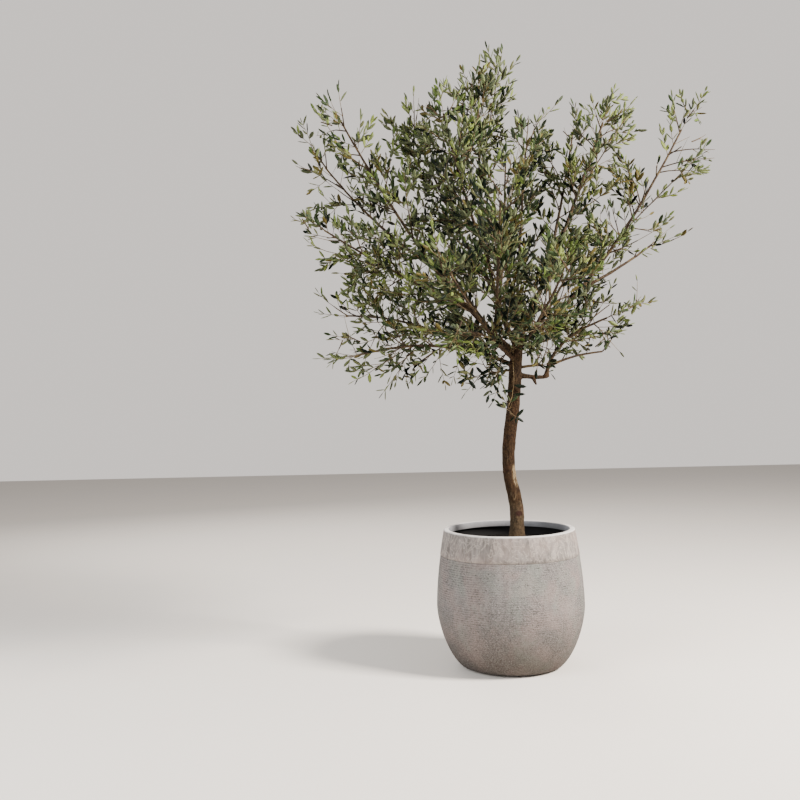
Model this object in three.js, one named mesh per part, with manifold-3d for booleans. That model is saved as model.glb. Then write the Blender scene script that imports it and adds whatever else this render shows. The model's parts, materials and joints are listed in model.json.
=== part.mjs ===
// Potted olive tree.
// Lengths are millimetres and +Z is up. The origin is the centre of the flat
// underside of the pot, and the pot's axis is the Z axis.

import * as THREE from 'three';
import { mergeVertices } from 'three/addons/utils/BufferGeometryUtils.js';
import Module from 'manifold-3d';

// Gap kept between solids that touch on the real tree
const CLEARANCE = 0.3;

// Pot: an egg-shaped planter with a smooth band under a thick lip
const POT_SIDES = 32;
const POT_HEIGHT = 500;
const FOOT_RADIUS = 171;
const FOOT_CHAMFER = 5;
const BELLY_RADIUS = 270;
const BELLY_HEIGHT = 221;
const RIM_RADIUS = 238;
const FOOT_ROUNDNESS = 1.58;
const SHOULDER_ROUNDNESS = 1.67;
const LIP_WIDTH = 20;
const LIP_DEPTH = 22;
const LIP_ROUND = 4;
const WALL = 14;
const FLOOR = 24;
const SEAM_HEIGHT = 409;
const SEAM_STEP = 1;
const NOTCH = { width: 38, depth: 30, height: 5, x: -15 };
const OUTER_HEIGHTS = [FOOT_CHAMFER, 25, 70, 135, BELLY_HEIGHT, 290, 355, SEAM_HEIGHT];

// Soil, flat round the trunk and lower at its edge, and the heights where the
// pot's inner wall changes slope
const SOIL_LEVEL = 450;
const SOIL_EDGE = 444;
const SOIL_FLAT_RADIUS = 108;
const WALL_HEIGHTS = [FLOOR, 100, BELLY_HEIGHT, 330, SOIL_EDGE];

// Trunk: its axis and radius at some heights, from the soil to the fork
const TRUNK_SIDES = 12;
const TRUNK_RING_GAP = 46;
const TRUNK = [
  { height: 450.3, x: 29, y: 0, radius: 36 },
  { height: 478, x: 30, y: 1, radius: 29.5 },
  { height: 520, x: 31, y: 3, radius: 26.5 },
  { height: 565, x: 31, y: 6, radius: 25.5 },
  { height: 625, x: 23, y: 11, radius: 24.8 },
  { height: 680, x: 10, y: 13, radius: 23.4 },
  { height: 754, x: 5, y: 9, radius: 23 },
  { height: 831, x: 9, y: 1, radius: 24 },
  { height: 933, x: 23, y: -7, radius: 23.6 },
  { height: 1036, x: 32, y: -6, radius: 23.5 },
  { height: 1117, x: 39, y: 0, radius: 22.5 },
  { height: 1190, x: 48, y: 5, radius: 18 },
];

// Limbs: boughs taper evenly, and the wood that carries foliage thins faster at
// its foot than at its tip
const BOUGH_SIDES = 5;
const BOUGH_STEPS = 3;
const BARE_TAPER = 0.7;
const STEM_SIDES = 5;
const STEM_STEPS = 4;
const STEM_TIP_RADIUS = 2.6;
const LIMB_TAPER = 0.75;

// Straight rods that stand for wood and leaves when the room round them is
// measured, and the room that is kept
const TRUNK_RODS = 16;
const BOUGH_RODS = 6;
const STEM_RODS = 8;
const TWIG_RODS = 4;
const SPACE_MARGIN = 1;

// Twigs and leaves of one mass of foliage. Each leaf stands for a spray of
// leaves. Twigs get shorter and leaves smaller by these shares towards the tip
// of the mass, and each stands on a flat side of the wood that carries it.
const SEED = 85;
const TWIG_SIDES = 3;
const TWIG_RADIUS = 3.4;
const TWIG_TAPER = 0.75;
const TWIG_SPACING = 80;
const TWIG_PLACE = { from: 0.2, spread: 0.4 };
const TWIG_REACH = 270;
const TWIG_SHORTENING = 0.65;
const TWIG_TRIES = [1, 0.8, 0.62, 0.46];
const TWIG_LEAN = 44;
const TWIG_VARIETY = { from: 0.85, spread: 0.3 };
const TWIG_LIFT = 0.16;
const TWIG_BARE = 0.12;
const SIDE_BOW = 30;
const SIDE_BARE = 0.2;
const LEAF_LENGTH = 155;
const LEAF_SHORTENING = 0.25;
const LEAF_PART = 0.6;
const LEAF_VARIETY = { from: 0.85, spread: 0.25 };
const LEAF_WIDTH_SHARE = 0.38;
const LEAF_THICKNESS_SHARE = 0.04;
const LEAF_LEAN = 42;
const LEAF_SPACING = 32;
const LEAF_SINK = 0.7;
const LEAF_CORE = 0.25;
const LEAFY_STEM = 1.5;
const FOLIAGE_DROOP = 45;

// Each limb leaves its parent at a height on the trunk, or at a share of its
// parent's length. Azimuth, reach and height place its tip, seen from the pot's
// axis. It bows by so many millimetres, upwards where bow is positive and
// outwards where it is negative, at the share of its length named bend. The
// inner end of a limb is a bough, and its outer end carries a mass of foliage.
const LIMBS = [
  { name: 'low_left', from: 'trunk', at: 1092, radius: 9,
    azimuth: 191, reach: 665, height: 1105, bend: 0.45, bow: 150, entry: 0.38 },
  { name: 'left_low', from: 'low_left', at: 0.24, radius: 6,
    azimuth: 173, reach: 716, height: 1293, bend: 0.45, bow: 110, entry: 0.14 },
  { name: 'right_arm', from: 'trunk', at: 1062, radius: 9.5,
    azimuth: -6, reach: 152, height: 1052, bend: 0.5, bow: -6, bare: true },
  { name: 'pruned_stub', from: 'right_arm', at: 0.55, radius: 6,
    azimuth: -16, reach: 112, height: 1024, bend: 0.5, bow: 0, bare: true },
  { name: 'right_low', from: 'right_arm', at: 0.96, radius: 8,
    azimuth: -11, reach: 522, height: 1299, bend: 0.25, bow: 140, entry: 0.2 },
  { name: 'under_right', from: 'right_low', at: 0.1, radius: 5.5,
    azimuth: 9, reach: 505, height: 1146, bend: 0.35, bow: 45, entry: 0.12, droop: 20 },
  { name: 'under_left', from: 'trunk', at: 1080, radius: 5,
    azimuth: -165, reach: 160, height: 1035, bend: 0.4, bow: 20, entry: 0.0, size: 0.8 },
  { name: 'under_centre', from: 'trunk', at: 1085, radius: 6,
    azimuth: -19, reach: 265, height: 1085, bend: 0.4, bow: 20, entry: 0.0 },
  { name: 'front_left', from: 'trunk', at: 1112, radius: 9,
    azimuth: -119, reach: 600, height: 1499, bend: 0.35, bow: -60, entry: 0.38, size: 1.2 },
  { name: 'front_low_left', from: 'front_left', at: 0.2, radius: 6.5,
    azimuth: -115, reach: 530, height: 1185, bend: 0.45, bow: 60, entry: 0.2, size: 1.2 },
  { name: 'front_high', from: 'front_left', at: 0.32, radius: 7,
    azimuth: -96, reach: 422, height: 1786, bend: 0.4, bow: -60, entry: 0.16, size: 1.2 },
  { name: 'front_right', from: 'trunk', at: 1146, radius: 8,
    azimuth: -70, reach: 552, height: 1489, bend: 0.35, bow: -50, entry: 0.26, size: 1.2 },
  { name: 'front_low_right', from: 'front_right', at: 0.12, radius: 5.5,
    azimuth: -78, reach: 489, height: 1210, bend: 0.45, bow: 40, entry: 0.2, size: 1.2 },
  { name: 'back_left', from: 'trunk', at: 1128, radius: 9,
    azimuth: 117, reach: 585, height: 1706, bend: 0.35, bow: -70, entry: 0.32, size: 1.2 },
  { name: 'back_low_left', from: 'back_left', at: 0.25, radius: 6,
    azimuth: 112, reach: 518, height: 1303, bend: 0.45, bow: 30, entry: 0.16, size: 1.2 },
  { name: 'back_right', from: 'trunk', at: 1158, radius: 9,
    azimuth: 50, reach: 669, height: 1712, bend: 0.35, bow: -80, entry: 0.3, size: 1.2 },
  { name: 'back_low_right', from: 'back_right', at: 0.22, radius: 6,
    azimuth: 59, reach: 556, height: 1314, bend: 0.45, bow: 30, entry: 0.16, size: 1.2 },
  { name: 'upper_left', from: 'trunk', at: 1140, radius: 11,
    azimuth: 185.3, reach: 649, height: 2117, bend: 0.36, bow: -118, entry: 0.46 },
  { name: 'left_middle', from: 'upper_left', at: 0.25, radius: 7,
    azimuth: 187, reach: 759, height: 1663, bend: 0.45, bow: -30, entry: 0.16 },
  { name: 'left_high', from: 'upper_left', at: 0.42, radius: 7,
    azimuth: 169.8, reach: 737, height: 1961, bend: 0.45, bow: -60, entry: 0.18 },
  { name: 'top', from: 'trunk', at: 1166, radius: 11.5,
    azimuth: 180, reach: 68, height: 2280, bend: 0.25, bow: -140, entry: 0.46 },
  { name: 'crown_left', from: 'top', at: 0.3, radius: 8,
    azimuth: 153, reach: 399, height: 2157, bend: 0.4, bow: -60, entry: 0.2 },
  { name: 'crown_left_front', from: 'top', at: 0.42, radius: 7,
    azimuth: 207, reach: 272, height: 2128, bend: 0.4, bow: -40, entry: 0.16 },
  { name: 'back_high', from: 'top', at: 0.22, radius: 7,
    azimuth: 81, reach: 434, height: 2072, bend: 0.4, bow: -80, entry: 0.16, size: 1.2 },
  { name: 'crown_front', from: 'trunk', at: 1180, radius: 8,
    azimuth: -59, reach: 174, height: 2003, bend: 0.3, bow: 60, entry: 0.24, size: 1.2 },
  { name: 'far_right', from: 'trunk', at: 1173, radius: 11,
    azimuth: 3, reach: 746, height: 2095, bend: 0.31, bow: -148, entry: 0.4 },
  { name: 'right_middle', from: 'far_right', at: 0.35, radius: 7,
    azimuth: 11, reach: 681, height: 1618, bend: 0.45, bow: -30, entry: 0.16, droop: -60 },
  { name: 'upper_right', from: 'trunk', at: 1188, radius: 13,
    azimuth: -8, reach: 417, height: 2105, bend: 0.35, bow: -30, entry: 0.36 },
  { name: 'crown_right', from: 'upper_right', at: 0.3, radius: 7.5,
    azimuth: 32, reach: 375, height: 2099, bend: 0.4, bow: -30, entry: 0.16 },
  { name: 'trunk_sprig', from: 'trunk', at: 905, radius: 3,
    azimuth: -95, reach: 95, height: 985, bend: 0.4, bow: -20, entry: 0.0, size: 0.5 },
];

// Further tips that a mass reaches: a long twig leaves the mass's stem for each
const SIDE_TIPS = [
  { limb: 'top', at: 0.35, azimuth: 69, reach: 74, height: 2295 },
  { limb: 'far_right', at: 0.3, azimuth: -6, reach: 741, height: 1866 },
  { limb: 'low_left', at: 0.3, azimuth: 174, reach: 560, height: 1038 },
  { limb: 'low_left', at: 0.05, azimuth: 170, reach: 356, height: 1075 },
  { limb: 'left_middle', at: 0.35, azimuth: -175, reach: 713, height: 1542 },
  { limb: 'crown_left', at: 0.35, azimuth: 156, reach: 468, height: 2081 },
  { limb: 'upper_right', at: 0.45, azimuth: -7, reach: 472, height: 2000 },
  { limb: 'right_low', at: 0.35, azimuth: -10, reach: 465, height: 1363 },
  { limb: 'front_low_left', at: 0.1, azimuth: -130, reach: 260, height: 1012 },
];

// Finishes
const POT_FINISH = { color: 0xada49c, roughness: 0.9, metalness: 0 };
const SOIL_FINISH = { color: 0x2a2420, roughness: 1, metalness: 0 };
const BARK_FINISH = { color: 0x5a4636, roughness: 0.95, metalness: 0 };
const LEAF_FINISH = { color: 0x5f6b47, roughness: 0.7, metalness: 0 };

const wasm = await Module();
wasm.setup();

const UP = new THREE.Vector3(0, 0, 1);

// A repeatable run of numbers from 0 to 1
function seededNumbers(seed) {
  let state = seed >>> 0;
  return () => {
    state = (state + 0x6d2b79f5) >>> 0;
    let mixed = Math.imul(state ^ (state >>> 15), state | 1);
    mixed ^= mixed + Math.imul(mixed ^ (mixed >>> 7), mixed | 61);
    return ((mixed ^ (mixed >>> 14)) >>> 0) / 4294967296;
  };
}

function polar(azimuth, reach, height) {
  const turn = THREE.MathUtils.degToRad(azimuth);
  return new THREE.Vector3(reach * Math.cos(turn), reach * Math.sin(turn), height);
}

// Solids

function toSolid(geometry) {
  const bare = geometry.clone();
  bare.deleteAttribute('normal');
  bare.deleteAttribute('uv');
  const merged = mergeVertices(bare, 1e-4);
  const corners = [];
  for (let i = 0; i < merged.index.count; i += 3) {
    const [a, b, c] = [0, 1, 2].map((k) => merged.index.getX(i + k));
    if (a !== b && b !== c && c !== a) corners.push(a, b, c);
  }
  const mesh = new wasm.Mesh({
    numProp: 3,
    vertProperties: new Float32Array(merged.attributes.position.array),
    triVerts: new Uint32Array(corners),
  });
  return new wasm.Manifold(mesh);
}

function toGeometry(solid) {
  const mesh = solid.getMesh();
  const geometry = new THREE.BufferGeometry();
  geometry.setAttribute('position', new THREE.BufferAttribute(mesh.vertProperties, 3));
  geometry.setIndex(new THREE.BufferAttribute(mesh.triVerts, 1));
  geometry.computeVertexNormals();
  return geometry;
}

// The main body of a solid, without scraps and with sealed hollows filled
function mainBody(solid) {
  const bodies = solid.decompose();
  return bodies.reduce((main, body) => (body.volume() > main.volume() ? body : main));
}

// A regular outline with a corner at the top
function polygon(sides) {
  const outline = new THREE.Shape();
  for (let i = 0; i < sides; i += 1) {
    const turn = Math.PI * (0.5 + (2 * i) / sides);
    if (i === 0) outline.moveTo(Math.sin(turn), Math.cos(turn));
    else outline.lineTo(Math.sin(turn), Math.cos(turn));
  }
  return outline;
}

// The directions along a limb at a share of its length, across it and level,
// and square to both, with the last two turned round it by the roll
function limbAxes(curve, at, roll) {
  const along = curve.getTangent(at).normalize();
  const side = levelAcross(curve.getPoint(1).sub(curve.getPoint(0)));
  side.addScaledVector(along, -side.dot(along)).normalize();
  const turn = THREE.MathUtils.degToRad(roll);
  return { along, side: side.applyAxisAngle(along, -turn), top: side.clone().cross(along) };
}

function levelAcross(along) {
  const side = along.clone().cross(UP);
  if (side.length() < 0.1 * along.length()) side.set(1, 0, 0);
  return side.normalize();
}

// A straight prism, bent onto a curve. At each station along the curve, wide
// and thick are half the size of its section.
function limbSolid(curve, stations, sides, roll) {
  const steps = stations.length - 1;
  const prism = new THREE.ExtrudeGeometry(polygon(sides), { depth: 1, steps, bevelEnabled: false });
  const rings = stations.map(({ at, wide, thick }) => {
    const { side, top } = limbAxes(curve, at, roll);
    return { centre: curve.getPoint(at), side: side.multiplyScalar(wide), top: top.multiplyScalar(thick) };
  });
  const place = prism.attributes.position;
  for (let i = 0; i < place.count; i += 1) {
    const { centre, side, top } = rings[Math.round(place.getZ(i) * steps)];
    const point = centre.clone().addScaledVector(top, place.getX(i)).addScaledVector(side, place.getY(i));
    place.setXYZ(i, point.x, point.y, point.z);
  }
  return toSolid(prism);
}

// Round stations between two shares of a curve
function woodStations(from, to, steps, radiusAt) {
  const stations = [];
  for (let i = 0; i <= steps; i += 1) {
    const at = THREE.MathUtils.lerp(from, to, i / steps);
    stations.push({ at, wide: radiusAt(at), thick: radiusAt(at) });
  }
  return stations;
}

// The last leaf of a twig or stem: its widest place and its tip
function leafStations({ woodTo, leafLength }) {
  const wide = (LEAF_WIDTH_SHARE * leafLength) / Math.sqrt(3);
  const thick = (2 / 3) * LEAF_THICKNESS_SHARE * leafLength;
  return [{ at: 0.5 * (woodTo + 1), wide, thick }, { at: 1, wide: 0, thick: 0 }];
}

// Pot and soil

function potRadiusAt(height) {
  if (height >= BELLY_HEIGHT) {
    const rise = (height - BELLY_HEIGHT) / (POT_HEIGHT - BELLY_HEIGHT);
    return BELLY_RADIUS - (BELLY_RADIUS - RIM_RADIUS) * rise ** SHOULDER_ROUNDNESS;
  }
  const drop = (BELLY_HEIGHT - height) / BELLY_HEIGHT;
  const swell = (1 - drop ** FOOT_ROUNDNESS) ** (1 / FOOT_ROUNDNESS);
  return FOOT_RADIUS + (BELLY_RADIUS - FOOT_RADIUS) * swell;
}

function lathe(profile) {
  const geometry = new THREE.LatheGeometry(profile, POT_SIDES);
  geometry.rotateX(Math.PI / 2);
  return toSolid(geometry);
}

function makePot() {
  const profile = [new THREE.Vector2(0, 0)];
  profile.push(new THREE.Vector2(FOOT_RADIUS - FOOT_CHAMFER, 0));
  for (const height of OUTER_HEIGHTS) {
    profile.push(new THREE.Vector2(potRadiusAt(height), height));
  }
  const bandFoot = SEAM_HEIGHT + SEAM_STEP;
  profile.push(new THREE.Vector2(potRadiusAt(bandFoot) + SEAM_STEP, bandFoot));
  const shoulder = POT_HEIGHT - LIP_ROUND;
  profile.push(new THREE.Vector2(potRadiusAt(shoulder) + SEAM_STEP, shoulder));
  profile.push(new THREE.Vector2(RIM_RADIUS - LIP_ROUND, POT_HEIGHT));
  profile.push(new THREE.Vector2(RIM_RADIUS - LIP_WIDTH + LIP_ROUND, POT_HEIGHT));
  profile.push(new THREE.Vector2(RIM_RADIUS - LIP_WIDTH, shoulder));
  const lipFoot = POT_HEIGHT - LIP_DEPTH;
  profile.push(new THREE.Vector2(RIM_RADIUS - LIP_WIDTH, lipFoot));
  for (const height of [lipFoot, ...WALL_HEIGHTS.toReversed()]) {
    profile.push(new THREE.Vector2(potRadiusAt(height) - WALL, height));
  }
  profile.push(new THREE.Vector2(0, FLOOR));
  const notch = new THREE.BoxGeometry(NOTCH.width, 2 * NOTCH.depth, 2 * NOTCH.height);
  notch.translate(NOTCH.x, -FOOT_RADIUS, 0);
  return lathe(profile).subtract(toSolid(notch));
}

function makeSoil() {
  const profile = [new THREE.Vector2(0, FLOOR + CLEARANCE)];
  for (const height of WALL_HEIGHTS) {
    const radius = potRadiusAt(height) - WALL - 2 * CLEARANCE;
    profile.push(new THREE.Vector2(radius, Math.max(height, FLOOR + CLEARANCE)));
  }
  profile.push(new THREE.Vector2(SOIL_FLAT_RADIUS, SOIL_LEVEL));
  profile.push(new THREE.Vector2(0, SOIL_LEVEL));
  return lathe(profile);
}

// Trunk

// The trunk's axis and radius at a height: each runs smoothly between stations
function trunkAt(height) {
  const last = TRUNK.length - 1;
  let i = 0;
  while (i < last - 1 && height > TRUNK[i + 1].height) i += 1;
  const [low, high] = [TRUNK[i], TRUNK[i + 1]];
  const span = high.height - low.height;
  const u = THREE.MathUtils.clamp((height - low.height) / span, 0, 1);
  const slope = (key, k) => {
    const before = TRUNK[Math.max(0, k - 1)];
    const after = TRUNK[Math.min(last, k + 1)];
    return (after[key] - before[key]) / (after.height - before.height);
  };
  const blend = (key) =>
    low[key] * (2 * u ** 3 - 3 * u ** 2 + 1) +
    slope(key, i) * span * (u ** 3 - 2 * u ** 2 + u) +
    high[key] * (3 * u ** 2 - 2 * u ** 3) +
    slope(key, i + 1) * span * (u ** 3 - u ** 2);
  return { centre: new THREE.Vector3(blend('x'), blend('y'), height), radius: blend('radius') };
}

// The trunk, or the room that other pieces leave round it
function makeTrunk(room) {
  const foot = TRUNK[0].height;
  const top = TRUNK[TRUNK.length - 1].height;
  const steps = Math.round((top - foot) / TRUNK_RING_GAP);
  const prism = new THREE.ExtrudeGeometry(polygon(TRUNK_SIDES), { depth: 1, steps, bevelEnabled: false });
  const place = prism.attributes.position;
  for (let i = 0; i < place.count; i += 1) {
    const height = foot + (top - foot) * place.getZ(i);
    const { centre, radius } = trunkAt(height);
    const reach = radius + room / Math.cos(Math.PI / TRUNK_SIDES);
    const end = place.getZ(i) === 1 ? room : 0;
    place.setXYZ(i, centre.x + place.getX(i) * reach, centre.y + place.getY(i) * reach, height + end);
  }
  return toSolid(prism);
}

// Limbs

// A limb's curve from its parent's axis to its tip
function limbCurve(limb, start) {
  const tip = polar(limb.azimuth, limb.reach, limb.height);
  const chord = tip.clone().sub(start);
  const side = chord.clone().cross(UP).normalize();
  const rise = side.cross(chord).normalize();
  const bend = start.clone().addScaledVector(chord, limb.bend).addScaledVector(rise, limb.bow);
  return new THREE.QuadraticBezierCurve3(start, bend, tip);
}

function planLimbs() {
  const plans = new Map();
  LIMBS.forEach((limb, index) => {
    const parent = plans.get(limb.from);
    const start = parent ? parent.curve.getPoint(limb.at) : trunkAt(limb.at).centre;
    const curve = limbCurve(limb, start);
    const end = limb.bare ? BARE_TAPER * limb.radius : STEM_TIP_RADIUS;
    const taper = limb.bare ? 1 : LIMB_TAPER;
    const radiusAt = (t) => THREE.MathUtils.lerp(limb.radius, end, t ** taper);
    const entry = limb.bare ? 1 : limb.entry;
    const plan = { size: 1, droop: FOLIAGE_DROOP, ...limb, index, entry, curve, radiusAt };
    plan.length = curve.getLength();
    plan.sideTips = SIDE_TIPS.filter((side) => side.limb === limb.name);
    const heights = [curve.getPoint(entry), curve.getPoint(1)].map((point) => point.z);
    heights.push(...plan.sideTips.map((side) => side.height));
    plan.underside = Math.min(...heights) - plan.droop;
    plan.boughRods = rodsAlong((t) => curve.getPoint(t), radiusAt, 0, entry, BOUGH_RODS);
    plan.stemRods = rodsAlong((t) => curve.getPoint(t), radiusAt, entry, 1, STEM_RODS);
    plans.set(limb.name, plan);
  });
  return [...plans.values()];
}

// Rods: short straight lengths that stand for limbs, twigs and leaves when the
// room round them is measured

function rodsAlong(pointAt, radiusAt, from, to, count) {
  const rods = [];
  for (let i = 0; i < count && to > from; i += 1) {
    const a = THREE.MathUtils.lerp(from, to, i / count);
    const b = THREE.MathUtils.lerp(from, to, (i + 1) / count);
    rods.push({ line: new THREE.Line3(pointAt(a), pointAt(b)), radius: radiusAt(a) });
  }
  return rods;
}

function trunkRods() {
  const foot = TRUNK[0].height;
  const top = TRUNK[TRUNK.length - 1].height;
  const radiusAt = (height) => trunkAt(height).radius;
  return rodsAlong((height) => trunkAt(height).centre, radiusAt, foot, top, TRUNK_RODS);
}

// The least distance between two straight lengths
function distanceBetween(a, b) {
  const u = a.end.clone().sub(a.start);
  const v = b.end.clone().sub(b.start);
  const w = a.start.clone().sub(b.start);
  const [uu, uv, vv, uw, vw] = [u.dot(u), u.dot(v), v.dot(v), u.dot(w), v.dot(w)];
  const spread = uu * vv - uv * uv;
  const clamp = (share) => THREE.MathUtils.clamp(share, 0, 1);
  const first = spread > 1e-9 ? clamp((uv * vw - vv * uw) / spread) : 0;
  const t = clamp((uv * first + vw) / vv);
  const s = clamp((uv * t - uw) / uu);
  return w.addScaledVector(u, s).addScaledVector(v, -t).length();
}

function clearOf(rods, rod) {
  return rods.every((other) =>
    distanceBetween(other.line, rod.line) > other.radius + rod.radius + SPACE_MARGIN);
}

// Each mass keeps above its underside, in the space nearer to its own stem than
// to any other stem
function inOwnSpace(plan, point, margin) {
  const nearest = new THREE.Vector3();
  const gap = (rods) => Math.min(...rods.map(({ line }) =>
    line.closestPointToPoint(point, true, nearest).distanceTo(point)));
  return point.z > plan.underside && gap(plan.stemRods) + 2 * margin < gap(plan.otherStems);
}

// Growth: where the twigs and leaves of one mass stand

// The direction that leans away from a limb, towards a turn round it
function leaning(axes, lean, turn) {
  const [tilt, spin] = [THREE.MathUtils.degToRad(lean), THREE.MathUtils.degToRad(turn)];
  return axes.along.clone().multiplyScalar(Math.cos(tilt))
    .addScaledVector(axes.side, Math.sin(tilt) * Math.cos(spin))
    .addScaledVector(axes.top, Math.sin(tilt) * Math.sin(spin));
}

// The turn that faces a flat side of wood with so many sides. Neighbours along
// it take the next side, or skip one where it has more than three.
function flatTurn(sides, number) {
  const side = sides > 3 ? 2 * number : number;
  return 90 + (side + 0.5) * (360 / sides);
}

function varied({ from, spread }, random) {
  return from + spread * random();
}

// A twig leaves its stem straight and lifts towards its tip
function twigCurve(root, direction, reach) {
  const bend = root.clone().addScaledVector(direction, 0.5 * reach);
  const tip = root.clone().addScaledVector(direction, reach).addScaledVector(UP, TWIG_LIFT * reach);
  return new THREE.QuadraticBezierCurve3(root, bend, tip);
}

function twigFits(plan, twig) {
  return twig.rods.every((rod) =>
    inOwnSpace(plan, rod.line.end, TWIG_RADIUS) && clearOf(plan.obstacles, rod));
}

// The wood of a twig stops short, and its last leaf fills the rest of its reach
function twigPlan(curve, size, from, leafLength) {
  const reach = curve.getLength();
  const twig = { curve, size, from, reach, leafLength, woodTo: 1 - leafLength / reach };
  twig.radiusAt = (t) => TWIG_RADIUS * size * (1 - (1 - TWIG_TAPER) * Math.min(1, t / twig.woodTo));
  twig.stations = woodStations(0, twig.woodTo, 1, twig.radiusAt);
  twig.rods = rodsAlong((t) => curve.getPoint(t), twig.radiusAt, 0, 1, TWIG_RODS);
  return twig;
}

// The axis of a twig's wood, which runs straight from station to station
function woodPoint(twig, at) {
  const after = Math.max(1, twig.stations.findIndex((station) => station.at >= at));
  const [a, b] = [twig.stations[after - 1].at, twig.stations[after].at];
  return twig.curve.getPoint(a).lerp(twig.curve.getPoint(b), (at - a) / (b - a));
}

// A leaf from its root, sunk in its twig, outwards, with its blade square to both
function leafPlan(twig, at, turn, length) {
  const axes = limbAxes(twig.curve, at, twig.roll);
  const out = leaning(axes, LEAF_LEAN, turn);
  const blade = axes.along.clone().cross(out).normalize();
  const depth = (LEAF_SINK * twig.radiusAt(at)) / Math.sin(THREE.MathUtils.degToRad(LEAF_LEAN));
  const root = woodPoint(twig, at).addScaledVector(out, -depth);
  const tip = root.clone().addScaledVector(out, length);
  const rod = { line: new THREE.Line3(root, tip), radius: 0.5 * LEAF_WIDTH_SHARE * length };
  const core = { line: rod.line, radius: LEAF_CORE * rod.radius };
  return { root, out, blade, length, tip, rod, core };
}

function leafFits(plan, leaf) {
  const middle = leaf.root.clone().lerp(leaf.tip, 0.5);
  const points = [1, -1].map((way) => middle.clone().addScaledVector(leaf.blade, way * leaf.rod.radius));
  return [leaf.tip, ...points].every((point) => inOwnSpace(plan, point, SPACE_MARGIN)) &&
    clearOf(plan.obstacles, leaf.rod);
}

// Leaves along a twig, each on the next flat side of its wood
function growLeaves(plan, twig, sides, random) {
  const leaves = [];
  const room = twig.reach * (twig.woodTo - twig.from);
  const count = Math.max(1, Math.round(room / (LEAF_SPACING * twig.size)));
  for (let i = 0; i < count; i += 1) {
    const at = twig.from + ((i + 0.5) / count) * (twig.woodTo - twig.from);
    const length = twig.leafLength * varied(LEAF_VARIETY, random);
    const leaf = leafPlan(twig, at, flatTurn(sides, i), length);
    if (leafFits(plan, leaf) && clearOf(plan.leafCores, leaf.core)) leaves.push(leaf);
  }
  return leaves;
}

function growMass(plan) {
  const random = seededNumbers(SEED + plan.index);
  const { curve, entry, size } = plan;
  const stemLength = plan.length * (1 - entry);
  const leafLengthAt = (share) => LEAF_LENGTH * size * (1 - LEAF_SHORTENING * share);
  const stem = twigPlan(curve, size, 0, leafLengthAt(1));
  stem.from = Math.max(entry, stem.woodTo - (LEAFY_STEM * leafLengthAt(1)) / plan.length);
  stem.radiusAt = plan.radiusAt;
  stem.stations = woodStations(entry + CLEARANCE / plan.length, stem.woodTo, STEM_STEPS, plan.radiusAt);
  stem.roll = 360 * random();
  plan.leafCores = [];
  const leaves = growLeaves(plan, stem, STEM_SIDES, random);
  const twigs = [];
  const grow = (twig) => {
    twig.roll = 360 * random();
    plan.leafCores = leaves.map((leaf) => leaf.core);
    twigs.push(twig);
    leaves.push(...growLeaves(plan, twig, TWIG_SIDES, random));
  };
  for (const side of plan.sideTips) {
    const root = curve.getPoint(THREE.MathUtils.lerp(entry, 1, side.at));
    const tip = polar(side.azimuth, side.reach, side.height);
    const bend = root.clone().lerp(tip, 0.5).addScaledVector(curve.getTangent(entry), SIDE_BOW);
    grow(twigPlan(new THREE.QuadraticBezierCurve3(root, bend, tip), size, SIDE_BARE, leafLengthAt(1)));
  }
  const count = Math.max(2, Math.round(stemLength / (TWIG_SPACING * size)));
  for (let i = 0; i < count; i += 1) {
    const share = (i + varied(TWIG_PLACE, random)) / count;
    const at = THREE.MathUtils.lerp(entry, 1, share);
    const lean = TWIG_LEAN * varied(TWIG_VARIETY, random);
    const direction = leaning(limbAxes(curve, at, stem.roll), lean, flatTurn(STEM_SIDES, i));
    const full = TWIG_REACH * size * (1 - TWIG_SHORTENING * share) * varied(TWIG_VARIETY, random);
    for (const reach of TWIG_TRIES.map((part) => part * full)) {
      const leafLength = Math.min(leafLengthAt(share), LEAF_PART * reach);
      const twig = twigPlan(twigCurve(woodPoint(stem, at), direction, reach), size, TWIG_BARE, leafLength);
      if (twigFits(plan, twig)) {
        grow(twig);
        break;
      }
    }
  }
  return { stem, twigs, leaves };
}

// Solids of boughs and masses

// The bough, or the room that other pieces leave round it
function makeBough(plan, room) {
  const stations = woodStations(0, plan.entry, BOUGH_STEPS, (t) => plan.radiusAt(t) + room);
  return limbSolid(plan.curve, stations, BOUGH_SIDES, 0);
}

// A keeled blade of four faces: its midrib runs from root to tip
function makeLeaf(leaf) {
  const corner = Math.sqrt(3);
  const edge = Math.sqrt(8);
  const geometry = new THREE.TetrahedronGeometry(corner);
  geometry.rotateZ(-Math.PI / 4);
  geometry.translate(0, 0, -1);
  geometry.scale(leaf.length / edge, (LEAF_WIDTH_SHARE * leaf.length) / edge,
    0.5 * LEAF_THICKNESS_SHARE * leaf.length);
  const thick = leaf.out.clone().cross(leaf.blade);
  geometry.applyMatrix4(new THREE.Matrix4().makeBasis(leaf.out, leaf.blade, thick));
  const middle = leaf.root.clone().lerp(leaf.tip, 0.5);
  geometry.translate(middle.x, middle.y, middle.z);
  return toSolid(geometry);
}

function makeMass(plan, growth) {
  const { stem, twigs, leaves } = growth;
  const grown = (twig, sides) =>
    limbSolid(twig.curve, [...twig.stations, ...leafStations(twig)], sides, twig.roll);
  const parts = [grown(stem, STEM_SIDES)];
  for (const twig of twigs) parts.push(grown(twig, TWIG_SIDES));
  for (const leaf of leaves) parts.push(makeLeaf(leaf));
  return wasm.Manifold.union(parts);
}

// Assembly

const tree = new THREE.Group();
const boughs = new THREE.Group();
const foliage = new THREE.Group();
tree.add(boughs, foliage);

function addPiece(group, name, solid, finish) {
  const piece = new THREE.Mesh(toGeometry(mainBody(solid)), new THREE.MeshStandardMaterial(finish));
  piece.name = name;
  group.add(piece);
}

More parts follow.
